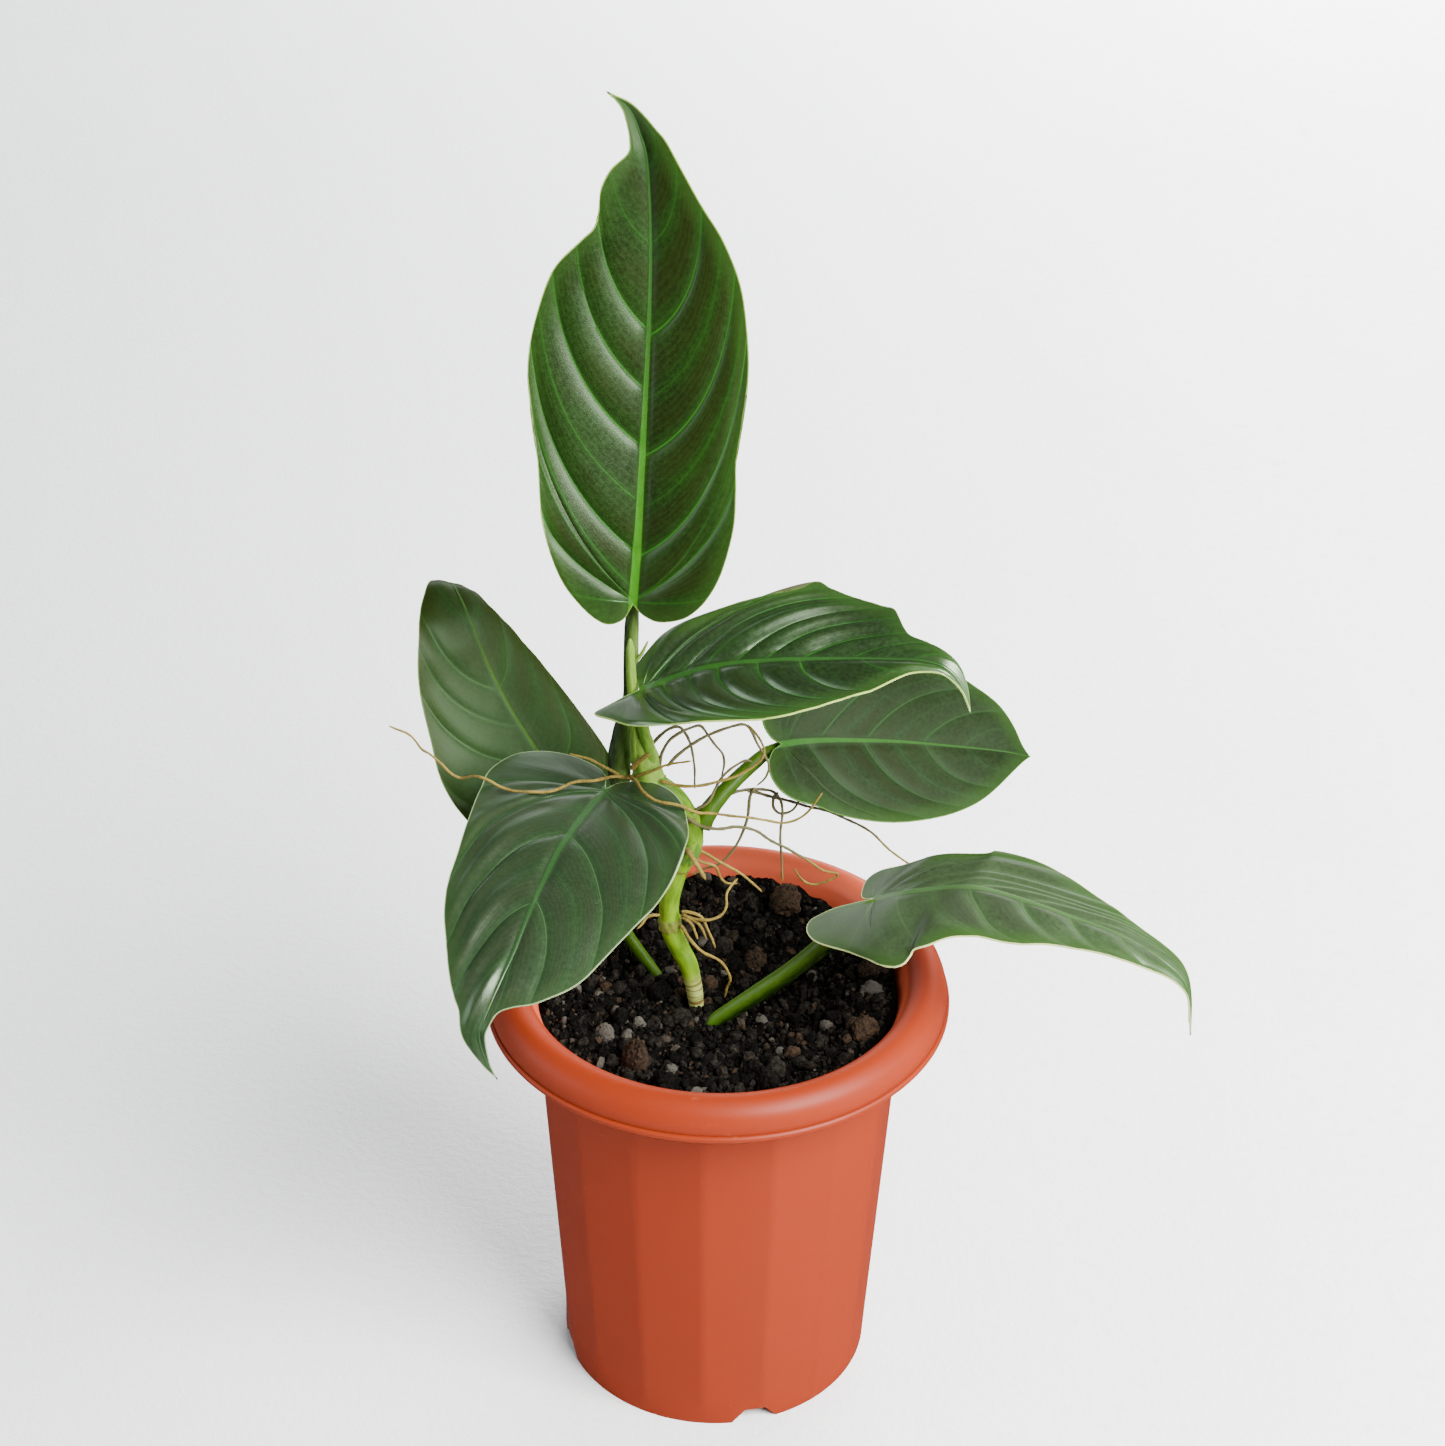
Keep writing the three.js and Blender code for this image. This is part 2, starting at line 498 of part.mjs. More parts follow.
// Pot: the wall is pressed into flat panels between its ridges, and fades to round at both ends
function potSolid() {
  const outerWall = [0, 3, 3 + POT.panelFadeHeight, 131, 138].map((height) => [wallRadius(height), height]);
  const profile = [
    [0, 0],
    [POT.padRadius, 0],
    [POT.padRadius, POT.floorUnderside],
    [POT.footRadius - 1.7, POT.floorUnderside],
    [POT.footRadius - 1.9, 0],
    ...outerWall,
    [61.4, 143.6],
    [62.9, 147],
    [66.8, 149.4],
    [71, 146.6],
    [72.9, 139.8],
    [74.6, 139.6],
    [POT.lipRadius, 141],
    [74.1, 142.2],
    [73.7, 145.6],
    [71.7, 149.3],
    [68, 151.8],
    [64.4, 151],
    [61.6, 148.6],
    [60.2, 145.6],
    [innerRadius(137), 137],
    [innerRadius(11), 11],
    [innerRadius(8) - 2, POT.floorTop],
    [0, POT.floorTop],
  ];
  const spokes = POT.panels * POT.stepsPerPanel;
  const geometry = turned(profile, spokes, POT.firstRidgeDegrees);
  const positions = geometry.getAttribute('position');
  const firstWallPoint = 5;
  const halfPanel = Math.PI / POT.panels;
  for (let i = 0; i < positions.count; i++) {
    const wallPoint = (i % profile.length) - firstWallPoint;
    if (wallPoint < 2 || wallPoint > 3) continue;
    const spoke = Math.floor(i / profile.length) % POT.stepsPerPanel;
    const offset = (spoke / POT.stepsPerPanel) * 2 * halfPanel - halfPanel;
    const flat = Math.cos(halfPanel) / Math.cos(offset);
    positions.setX(i, positions.getX(i) * flat);
    positions.setY(i, positions.getY(i) * flat);
  }
  let pot = toSolid(geometry);
  for (const notch of notchSolids()) pot = pot.subtract(notch);
  for (const hole of drainHoleSolids()) pot = pot.subtract(hole);
  return pot;
}

// Water notches through the foot, narrower and round-shouldered at the top
function notchSolids() {
  const outline = new THREE.Shape();
  outline.moveTo(-POT.notchFootWidth / 2, -1);
  outline.lineTo(POT.notchFootWidth / 2, -1);
  outline.lineTo(POT.notchTopWidth / 2 + 2.2, POT.notchHeight - 2.2);
  outline.quadraticCurveTo(POT.notchTopWidth / 2, POT.notchHeight, 0, POT.notchHeight);
  outline.quadraticCurveTo(
    -POT.notchTopWidth / 2,
    POT.notchHeight,
    -POT.notchTopWidth / 2 - 2.2,
    POT.notchHeight - 2.2,
  );
  const depth = 10;
  return Array.from({ length: POT.notches }, (_, i) => {
    const geometry = new THREE.ExtrudeGeometry(outline, { depth, bevelEnabled: false, curveSegments: 4 });
    geometry.rotateX(Math.PI / 2);
    geometry.translate(0, -(POT.footRadius - depth / 2 - 1), 0);
    geometry.rotateZ(radians(POT.firstNotchDegrees + (360 / POT.notches) * i));
    return toSolid(geometry);
  });
}

function drainHoleSolids() {
  return Array.from({ length: POT.drainHoles }, (_, i) => {
    const angle = ((i + 0.5) / POT.drainHoles) * 2 * Math.PI;
    const geometry = new THREE.CylinderGeometry(POT.drainHoleRadius, POT.drainHoleRadius, 8, 12);
    geometry.rotateX(Math.PI / 2);
    geometry.translate(
      POT.drainHoleCircle * Math.cos(angle),
      POT.drainHoleCircle * Math.sin(angle),
      (POT.floorUnderside + POT.floorTop) / 2,
    );
    return toSolid(geometry);
  });
}

// Uneven top of the soil
function soilHeight(x, y) {
  const radius = Math.hypot(x, y);
  const rise = (SOIL.edgeHeight - SOIL.centreHeight) * (radius / innerRadius(SOIL.edgeHeight)) ** 2;
  const ripple = Math.sin(0.31 * x + 0.7) * Math.cos(0.27 * y) + Math.sin(0.53 * x - 0.41 * y + 2);
  return SOIL.centreHeight + rise + SOIL.unevenness * ripple;
}

// A crumb of soil: a rough ball whose corners are pushed in and out
function clodSolid(x, y, radius, detail, random) {
  const merged = mergeVertices(bareIcosahedron(radius, detail));
  const positions = merged.getAttribute('position');
  for (let i = 0; i < positions.count; i++) {
    const push = 0.8 + 0.4 * random();
    positions.setXYZ(i, positions.getX(i) * push, positions.getY(i) * push, positions.getZ(i) * push * 0.85);
  }
  merged.rotateZ(2 * Math.PI * random());
  merged.translate(x, y, soilHeight(x, y) + 0.15 * radius);
  return toSolid(merged);
}

function bareIcosahedron(radius, detail) {
  const geometry = new THREE.IcosahedronGeometry(radius, detail);
  geometry.deleteAttribute('normal');
  geometry.deleteAttribute('uv');
  return geometry;
}

// Soil fills the pot to below the rim. Stems stand in plain holes in it.
function soilSolid(stems) {
  const topRadius = innerRadius(SOIL.edgeHeight) - CLEARANCE;
  const lowest = POT.floorTop + CLEARANCE;
  const lowestRadius = innerRadius(POT.floorTop) - 2 - CLEARANCE;
  const profile = [
    [0, lowest],
    [lowestRadius, lowest],
    [innerRadius(11) - CLEARANCE, 11 + CLEARANCE],
    [innerRadius(134) - CLEARANCE, 134],
  ];
  for (let ring = 0; ring <= SOIL.rings; ring++) {
    profile.push([topRadius * (1 - ring / SOIL.rings), SOIL.centreHeight]);
  }
  const geometry = turned(profile, SOIL.spokes, 0);
  const positions = geometry.getAttribute('position');
  for (let i = 0; i < positions.count; i++) {
    if (positions.getZ(i) !== SOIL.centreHeight) continue;
    positions.setZ(i, soilHeight(positions.getX(i), positions.getY(i)));
  }
  let soil = toSolid(geometry);
  const random = seededRandom(SOIL.clodSeed);
  for (const [x, y, radius] of LARGE_CLODS) soil = soil.add(clodSolid(x, y, radius, 1, random));
  for (let i = 0; i < SOIL.looseClods; i++) {
    const angle = 2 * Math.PI * random();
    const radius = 1.6 + 2 * random() ** 2;
    const distance = (topRadius - radius - 1.5) * Math.sqrt(random());
    soil = soil.add(clodSolid(distance * Math.cos(angle), distance * Math.sin(angle), radius, 0, random));
  }
  for (const stem of stems) soil = soil.subtract(stem);
  return largestBody(soil);
}

// Plant
const surfaces = LEAVES.map((leaf) => new LeafSurface(leaf));
const thickBlades = surfaces.map((surface) => (
  bladeSolid(surface, BLADE.thickness + 2 * CLEARANCE, CLEARANCE)
));
const stemSolid = limb(STEM.route, STEM.radii);
const stemHole = limb(STEM.route, STEM.radii, { extra: CLEARANCE });
const petioleHoles = LEAVES.map((leaf) => (
  limb(leaf.petiole, leaf.petioleRadii, { extra: CLEARANCE })
));

function petioleSolid(leaf, index) {
  const whole = limb(leaf.petiole, leaf.petioleRadii);
  return largestBody(whole.subtract(stemHole).subtract(thickBlades[index]));
}

function shootSolid() {
  const sheath = limb(SHOOT.route, SHOOT.radii);
  const point = limb(SHOOT.tipRoute, SHOOT.tipRadii, { sides: 6, spacing: 3 });
  let shoot = sheath.add(point).subtract(stemHole);
  for (const blocker of [thickBlades[0], thickBlades[3], petioleHoles[0], petioleHoles[3]]) {
    shoot = shoot.subtract(blocker);
  }
  return largestBody(shoot);
}

function rootClusterSolid(cluster) {
  const collarRadii = cluster.collar.map(() => cluster.collarRadius);
  let roots = limb(cluster.collar, collarRadii, { spacing: 3 });
  for (const route of cluster.roots) {
    roots = roots.add(limb(route, [ROOT_RADIUS, ROOT_RADIUS, ROOT_RADIUS * 0.7], { sides: 4, spacing: 5.5 }));
  }
  roots = roots.subtract(stemHole);
  for (const hole of petioleHoles) roots = roots.subtract(hole);
  roots = roots.subtract(limb(SHOOT.route, SHOOT.radii, { extra: CLEARANCE }));
  return largestBody(roots);
}

// Finishes
const FINISH = {
  pot: { color: '#bf5236', roughness: 0.5, metalness: 0 },
  soil: { color: '#1f1b19', roughness: 1, metalness: 0 },
  stem: { color: '#7f9d45', roughness: 0.55, metalness: 0 },
  petiole: { color: '#5b8038', roughness: 0.5, metalness: 0 },
  blade: { color: '#2f4d30', roughness: 0.4, metalness: 0 },
  root: { color: '#b48f4e', roughness: 0.8, metalness: 0 },
};

function piece(name, solid, finish) {
  const mesh = new THREE.Mesh(toGeometry(solid), new THREE.MeshStandardMaterial(FINISH[finish]));
  mesh.name = name;
  return mesh;
}

const plant = new THREE.Group();
plant.add(piece('main_stem', stemSolid, 'stem'));
LEAVES.forEach((leaf, index) => {
  plant.add(piece(`${leaf.name}_petiole`, petioleSolid(leaf, index), 'petiole'));
  plant.add(piece(`${leaf.name}_blade`, bladeSolid(surfaces[index], BLADE.thickness), 'blade'));
});
plant.add(piece('young_shoot', shootSolid(), 'stem'));
for (const cluster of ROOT_CLUSTERS) plant.add(piece(cluster.name, rootClusterSolid(cluster), 'root'));

const part = new THREE.Group();
part.add(piece('pot', potSolid(), 'pot'));
part.add(piece('soil', soilSolid([stemHole, ...petioleHoles]), 'soil'));
part.add(plant);

export default part;
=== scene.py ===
"""Potted philodendron subhastatum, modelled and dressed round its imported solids.

Sizes are in millimetres and become metres where a mesh is made. +Z is up, the front faces -Y.
"""
import logging
import math
from dataclasses import dataclass
from enum import Enum
from functools import cache, partial
from typing import Callable, Sequence

import bpy
import numpy as np
from mathutils import Matrix, Vector


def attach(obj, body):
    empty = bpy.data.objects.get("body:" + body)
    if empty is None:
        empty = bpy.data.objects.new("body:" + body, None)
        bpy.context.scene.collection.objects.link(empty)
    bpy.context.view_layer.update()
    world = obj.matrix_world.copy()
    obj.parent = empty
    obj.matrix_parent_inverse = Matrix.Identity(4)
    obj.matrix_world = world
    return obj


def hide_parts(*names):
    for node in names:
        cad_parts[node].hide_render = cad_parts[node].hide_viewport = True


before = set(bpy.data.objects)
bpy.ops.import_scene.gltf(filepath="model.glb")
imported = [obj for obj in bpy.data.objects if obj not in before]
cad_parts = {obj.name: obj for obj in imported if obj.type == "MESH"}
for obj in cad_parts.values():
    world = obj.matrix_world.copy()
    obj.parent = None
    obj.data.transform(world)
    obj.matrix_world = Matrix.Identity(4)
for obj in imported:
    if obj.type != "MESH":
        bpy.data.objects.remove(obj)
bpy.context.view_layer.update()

LOG = logging.getLogger("philodendron")
MM = 0.001
BODY = "root"

Array = np.ndarray
Pair = tuple[float, float]
Point = tuple[float, float, float]
Colour = tuple[float, float, float]
Rule = Callable[[Array, Array], Array]
Piece = bpy.types.Object
Material = bpy.types.Material
Tree = bpy.types.NodeTree
Socket = bpy.types.NodeSocket


class Slot(Enum):
    """Material slots of the part's record."""

    POT = "pot_plastic"
    SOIL = "potting_soil"
    STEM = "stem_green"
    PETIOLE = "petiole_green"
    LEAF = "leaf_green"
    ROOT = "root_tan"


class Side(Enum):
    """Halves of a blade, with the sign of each one's distance from the midrib."""

    LEFT = -1
    RIGHT = 1


# Shader nodes


class Nodes:
    """Adds shader nodes to a material or a node group and links them."""

    def __init__(self, tree: Tree) -> None:
        """Keeps the node tree that the nodes go into."""
        self.tree = tree

    def feed(self, socket: Socket, value: object) -> None:
        """Links a socket to another, or sets its value.

        Args:
            socket: The socket.
            value: Another socket, a number, or a colour or vector as a tuple.
        """
        if isinstance(value, Socket):
            self.tree.links.new(value, socket)
        elif isinstance(value, tuple) and socket.type == "RGBA":
            socket.default_value = (*value, 1.0)
        else:
            socket.default_value = value

    def fill(self, node: bpy.types.Node, feeds: dict[int | str, object]) -> None:
        """Feeds inputs of a node by number or name, and leaves those that are given nothing."""
        for key, value in feeds.items():
            if value is not None:
                self.feed(node.inputs[key], value)

    def add(self, kind: str, feeds: dict[int | str, object] | None = None,
            **settings: object) -> bpy.types.Node:
        """Adds one node, sets its properties and feeds its inputs.

        Args:
            kind: Blender's name for the node type, after the word ShaderNode.
            feeds: A value or a socket for each input, by number or name.
            **settings: Properties to set on the node.

        Returns:
            The new node.
        """
        node = self.tree.nodes.new("ShaderNode" + kind)
        for key, value in settings.items():
            setattr(node, key, value)
        self.fill(node, feeds or {})
        return node

    def math(self, operation: str, *values: object) -> Socket:
        """Result of one operation on numbers."""
        return self.add("Math", dict(enumerate(values)), operation=operation).outputs[0]

    def times(self, first: object, *others: object) -> Socket:
        """Product of numbers."""
        for other in others:
            first = self.math("MULTIPLY", first, other)
        return first

    def step(self, value: Socket, low: object, high: object, start: float = 0.0,
             end: float = 1.0) -> Socket:
        """Smooth step of a value from start at low to end at high."""
        feeds = {"Value": value, "From Min": low, "From Max": high, "To Min": start, "To Max": end}
        return self.add("MapRange", feeds, interpolation_type="SMOOTHSTEP").outputs["Result"]

    def mix(self, share: Socket, first: object, second: object) -> Socket:
        """Mixes two colours by a share."""
        return self.add("Mix", {0: share, 6: first, 7: second}, data_type="RGBA").outputs[2]

    def blend(self, share: float, first: Socket, second: Socket) -> Socket:
        """Mixes two numbers by a share."""
        return self.add("Mix", {0: share, 2: first, 3: second}, data_type="FLOAT").outputs[0]

    def attribute(self, name: str) -> Socket:
        """Number stored on the mesh under a name."""
        return self.add("Attribute", attribute_name=name).outputs["Fac"]

    def place(self, stretch: Point = (1, 1, 1), shift: Point = (0, 0, 0),
              flat: bool = False) -> Socket:
        """Object coordinates, or the piece's own map, stretched and shifted."""
        source = self.add("TexCoord").outputs["UV" if flat else "Object"]
        return self.add("Mapping", {"Vector": source, "Scale": stretch,
                                    "Location": shift}).outputs["Vector"]

    def axes(self) -> Sequence[Socket]:
        """Object coordinates as three numbers."""
        return self.add("SeparateXYZ", {0: self.place()}).outputs

    def noise(self, vector: Socket, scale: object, detail: float = 3.0, rough: float = 0.5,
              warp: float = 0.0) -> Socket:
        """Noise between 0 and 1."""
        feeds = {"Vector": vector, "Scale": scale, "Detail": detail, "Roughness": rough,
                 "Distortion": warp}
        return self.add("TexNoise", feeds).outputs["Fac"]

    def bump(self, height: Socket, strength: float, distance: float,
             normal: Socket | None = None) -> Socket:
        """Bump from a height, on top of another normal where one is given."""
        feeds = {"Height": height, "Strength": strength, "Distance": distance, "Normal": normal}
        return self.add("Bump", feeds).outputs["Normal"]

    def group(self, tree: Tree, **feeds: float) -> Sequence[Socket]:
        """Places a node group, feeds its inputs by name and gives its outputs."""
        return self.add("Group", feeds, node_tree=tree).outputs


class Skin(Nodes):
    """Nodes of a new material."""

    def __init__(self, name: str) -> None:
        """Makes the material."""
        self.material = bpy.data.materials.new(name)
        self.material.use_nodes = True
        super().__init__(self.material.node_tree)

    def grain(self, fine: float, coarse: float) -> Socket:
        """Height of the skin's fine grain, for two numbers of grains a metre."""
        return self.group(fine_grain_group(), Fine=fine, Coarse=coarse)["Height"]

    def finish(self, colour: Socket, roughness: object, normal: Socket | None = None,
               specular: float = 0.5, sheen: Colour = (1, 1, 1)) -> Material:
        """Feeds the material's shader.

        Args:
            colour: Its base colour.
            roughness: Its roughness.
            normal: Its normal, where it has a fine relief.
            specular: Its specular level.
            sheen: Tint of its highlights.

        Returns:
            The material.
        """
        self.fill(self.tree.nodes["Principled BSDF"], {
            "Base Color": colour, "Roughness": roughness, "Normal": normal,
            "Specular IOR Level": specular, "Specular Tint": sheen})
        return self.material


def new_group(name: str, inputs: Sequence[str], outputs: Sequence[str],
              ) -> tuple[Nodes, Sequence[Socket], Sequence[Socket]]:
    """Makes a shader node group whose inputs and outputs are numbers.

    Args:
        name: Name of the group.
        inputs: Names of its inputs.
        outputs: Names of its outputs.

    Returns:
        The group's nodes, the sockets that give its inputs and those that take its outputs.
    """
    tree = bpy.data.node_groups.new(name, "ShaderNodeTree")
    for way, labels in (("INPUT", inputs), ("OUTPUT", outputs)):
        for label in labels:
            tree.interface.new_socket(name=label, in_out=way, socket_type="NodeSocketFloat")
    given = tree.nodes.new("NodeGroupInput").outputs
    return Nodes(tree), given, tree.nodes.new("NodeGroupOutput").inputs


@cache
def fine_grain_group() -> Tree:
    """Fine grain of living skin: small cells under a soft unevenness.

    Returns:
        A group with inputs Fine and Coarse, in grains a metre, and the output Height.
    """
    nodes, given, result = new_group("Fine grain", ("Fine", "Coarse"), ("Height",))
    place = nodes.add("TexCoord").outputs["Object"]
    fine = nodes.noise(place, given["Fine"], 2.0)
    coarse = nodes.noise(place, given["Coarse"], 1.0)
    nodes.feed(result["Height"], nodes.blend(0.35, fine, coarse))
    return nodes.tree


@cache
def vein_group() -> Tree:
    """Side veins of a blade, read from the phase and the gap stored on its mesh.

    Returns:
        A group with inputs Line and Halo, both widths in millimetres, and the outputs Line,
        Halo, Middle and Fine, each from 0 to 1.
    """
    nodes, given, result = new_group("Side veins", ("Line", "Halo"),
                                     ("Line", "Halo", "Middle", "Fine"))
    phase, strength = nodes.attribute("vein_phase"), nodes.attribute("vein_strength")
    share = nodes.math("PINGPONG", phase, 0.5)
    distance = nodes.times(share, nodes.attribute("vein_gap"))
    for label in ("Line", "Halo"):
        band = nodes.step(distance, 0.0, given[label], 1.0, 0.0)
        nodes.feed(result[label], nodes.times(band, strength))
    nodes.feed(result["Middle"], nodes.step(share, 0.08, 0.4))
    wobble = nodes.times(nodes.noise(nodes.place(), 260.0, 2.0), 0.9)
    fine = nodes.math("PINGPONG", nodes.math("MULTIPLY_ADD", phase, 7.0, wobble), 0.5)
    nodes.feed(result["Fine"], nodes.step(fine, 0.0, 0.3, 1.0, 0.0))
    return nodes.tree


# Finishes


@dataclass(frozen=True)
class LeafFinish:
    """Skin of a leaf blade: glossy dark green with bronze between pale veins."""

    name: str
    deep: Colour = (0.0028, 0.0074, 0.0003)
    fresh: Colour = (0.0072, 0.0235, 0.0018)
    bronze: Colour = (0.0078, 0.0074, 0.0004)
    vein: Colour = (0.0130, 0.0850, 0.0060)
    rib: Colour = (0.0240, 0.1150, 0.0035)
    rib_tip: Colour = (0.0130, 0.0480, 0.0080)
    edge: Colour = (0.16, 0.24, 0.04)
    edge_glow: Colour = (0.018, 0.052, 0.006)
    speck: Colour = (0.14, 0.17, 0.11)
    sheen: Colour = (0.78, 1.0, 0.72)
    under: Colour = (0.045, 0.075, 0.022)
    under_wine: Colour = (0.060, 0.040, 0.024)
    under_vein: Colour = (0.075, 0.125, 0.035)
    under_rib: Colour = (0.060, 0.120, 0.030)
    bronze_share: float = 0.62
    glow_share: float = 0.5
    vein_line: float = 0.5
    roughness: float = 0.32
    gloss: float = 0.34
    grain: float = 0.32
    halo: float = 0.55
    rib_scale: float = 1.0

    def upper(self) -> Material:
        """Makes the finish of the upper side.

        Returns:
            The material.
        """
        skin = Skin(f"{self.name}_upper")
        pattern = skin.group(vein_group(), Line=self.vein_line, Halo=3.2)
        blotch = skin.noise(skin.place(), 24.0, 1.5, 0.5, 0.3)
        mottle = skin.noise(skin.place(shift=(3.1, 1.7, 0.4)), 750.0, 4.0, 0.7)
        soft = skin.noise(skin.place(shift=(1.3, 0.4, 2.0)), 60.0, 2.0)
        tone = skin.step(skin.blend(0.35, mottle, soft), 0.3, 0.7)
        colour = skin.mix(tone, self.deep, self.fresh)
        bronzing = skin.times(pattern["Middle"], skin.step(blotch, 0.3, 0.66), self.bronze_share)
        colour = skin.mix(bronzing, colour, self.bronze)
        colour = skin.mix(skin.times(pattern["Halo"], self.halo), colour, self.fresh)
        colour = skin.mix(skin.times(pattern["Fine"], 0.07), colour, self.vein)
        edge = skin.attribute("edge")
        glow = skin.times(skin.step(edge, 0.4, 7.0, self.glow_share, 0.0),
                          skin.step(blotch, 0.2, 0.7, 0.5, 1.0))
        colour = skin.mix(glow, colour, self.edge_glow)
        colour = skin.mix(skin.times(pattern["Line"], 0.85), colour, self.vein)
        along, rib_share = skin.attribute("along"), skin.attribute("rib_share")
        rib = skin.mix(skin.step(along, 0.0, 0.7), self.rib, self.rib_tip)
        streaks = skin.noise(skin.place((900, 900, 60)), 1.0, 2.0)
        rib = skin.mix(skin.step(streaks, 0.3, 0.8, 0.0, 0.25), rib, self.fresh)
        colour = skin.mix(skin.step(rib_share, 1.0, 3.4, 0.5, 0.0), colour, self.fresh)
        colour = skin.mix(skin.step(rib_share, 0.75, 1.1, 1.0, 0.0), colour, rib)
        cell = skin.add("TexVoronoi", {"Vector": skin.place(), "Scale": 85.0}).outputs
        chosen = skin.add("SeparateColor", {0: cell["Color"]}).outputs[0]
        speck = skin.times(skin.step(cell["Distance"], 0.010, 0.022, 0.6, 0.0),
                           skin.math("GREATER_THAN", chosen, 0.72))
        colour = skin.mix(speck, colour, self.speck)
        pale = skin.times(skin.step(edge, 0.10, 0.42, 0.85, 0.0), skin.attribute("pale"))
        colour = skin.mix(pale, colour, self.edge)
        dull_tip = skin.step(along, 0.86, 0.97, 0.0, 0.5)
        rough = skin.math("ADD", dull_tip, skin.step(mottle, 0.3, 0.7, self.roughness - 0.03,
                                                     self.roughness + 0.04))
        relief = skin.math("MULTIPLY_ADD", pattern["Fine"], -0.5, 1.0)
        normal = skin.bump(relief, 0.12, 0.0001,
                           skin.bump(skin.grain(2600.0, 420.0), self.grain, 0.00012))
        return skin.finish(colour, rough, normal, self.gloss, self.sheen)

    def lower(self) -> Material:
        """Makes the paler, duller finish of the underside, tinted wine between its veins.

        Returns:
            The material.
        """
        skin = Skin(f"{self.name}_under")
        pattern = skin.group(vein_group(), Line=0.6, Halo=2.4)
        blotch = skin.noise(skin.place(), 30.0, 3.0, 0.55, 0.3)
        wine = skin.times(pattern["Middle"], skin.step(blotch, 0.3, 0.7, 0.15, 0.6))
        colour = skin.mix(wine, self.under, self.under_wine)
        colour = skin.mix(skin.times(pattern["Line"], 0.8), colour, self.under_vein)
        rib = skin.step(skin.attribute("rib_share"), 0.8, 1.8, 0.8, 0.0)
        colour = skin.mix(rib, colour, self.under_rib)
        return skin.finish(colour, 0.55, skin.bump(skin.grain(2200.0, 380.0), 0.4, 0.00015))

    def rim(self) -> Material:
        """Makes the pale finish of the thin margin.

        Returns:
            The material.
        """
        skin = Skin(f"{self.name}_margin")
        duller = tuple(0.8 * part for part in self.edge)
        tone = skin.step(skin.noise(skin.place(), 90.0, 2.0), 0.3, 0.7)
        colour = skin.mix(tone, self.edge, duller)
        return skin.finish(skin.mix(skin.attribute("pale"), self.edge_glow, colour), 0.5)


@dataclass(frozen=True)
class StalkFinish:
    """Skin of a leaf stalk: streaked green, with painted light and shade, paler on the side that faces one
    way and darker on the other.
    """

    name: str
    # The light and dark tones serve both the streaks and the painted lit and shaded sides.
    light: Colour = (0.029, 0.066, 0.0020)
    dark: Colour = (0.0085, 0.0290, 0.0008)
    fleck: Colour = (0.08, 0.13, 0.02)
    painted_light_towards: Point = (0.4, -0.4, 0.8)
    painted_light_share: float = 0.5
    roughness: float = 0.38

    def material(self) -> Material:
        """Makes the material.

        Returns:
            The material.
        """
        skin = Skin(self.name)
        streak = skin.noise(skin.place((9, 14, 1), flat=True), 1.6, 3.0, 0.6, 0.2)
        patch = skin.noise(skin.place(), 60.0, 3.0, 0.55)
        streaked = skin.step(skin.blend(0.3, streak, patch), 0.36, 0.64)
        # Painted light and shade: the side whose surface faces the given way is coloured lighter, the other
        # side darker.
        facing = skin.add("VectorMath", {0: skin.add("TexCoord").outputs["Normal"], 1: self.painted_light_towards},
                          operation="DOT_PRODUCT").outputs["Value"]
        share = skin.blend(self.painted_light_share, streaked, skin.step(facing, -0.2, 0.85))
        colour = skin.mix(share, self.dark, self.light)
        flecks = skin.noise(skin.place((40, 260, 1), flat=True), 1.5, 2.0, 0.7)
        colour = skin.mix(skin.step(flecks, 0.6, 0.74, 0.0, 0.4), colour, self.fleck)
        rough = skin.step(patch, 0.3, 0.7, self.roughness - 0.05, self.roughness + 0.1)
        fine = skin.grain(1800.0, 500.0)
        normal = skin.bump(streak, 0.3, 0.0003, skin.bump(fine, 0.3, 0.00015))
        return skin.finish(colour, rough, normal, 0.12)


@dataclass(frozen=True)
class StemFinish:
    """Skin of the main stem: yellow-green, with bark-brown nodes and pale rings at its foot."""

    light: Colour = (0.128, 0.218, 0.0062)
    dark: Colour = (0.032, 0.092, 0.0022)
    pale: Colour = (0.24, 0.27, 0.085)
    brown: Colour = (0.070, 0.032, 0.010)

    def material(self) -> Material:
        """Makes the material.

        Returns:
            The material.
        """
        skin = Skin("stem_skin")
        streak = skin.noise(skin.place((8, 8, 1), flat=True), 1.5, 3.0, 0.6, 0.2)
        patch = skin.noise(skin.place(), 55.0)
        colour = skin.mix(skin.step(skin.blend(0.5, streak, patch), 0.32, 0.70), self.dark,
                          self.light)
        foot = skin.attribute("foot")
        colour = skin.mix(skin.times(foot, 0.8), colour, self.pale)
        rings = skin.noise(skin.place((0.8, 62, 1), flat=True), 1.0, 3.0, 0.55)
        ringed = skin.times(skin.step(rings, 0.52, 0.58, 0.0, 0.9), foot)
        colour = skin.mix(ringed, colour, self.brown)
        ragged = skin.math("MULTIPLY_ADD", skin.noise(skin.place(), 700.0, 3.0, 0.7), 1.1, -0.62)
        bark = skin.math("ADD", skin.attribute("node"), ragged)
        colour = skin.mix(skin.step(bark, 0.35, 0.75, 0.0, 0.9), colour, self.brown)
        fine = skin.grain(1500.0, 420.0)
        normal = skin.bump(skin.times(rings, foot), 0.5, 0.0006, skin.bump(fine, 0.35, 0.0002))
        return skin.finish(colour, skin.step(bark, 0.2, 0.8, 0.4, 0.75), normal, 0.15)


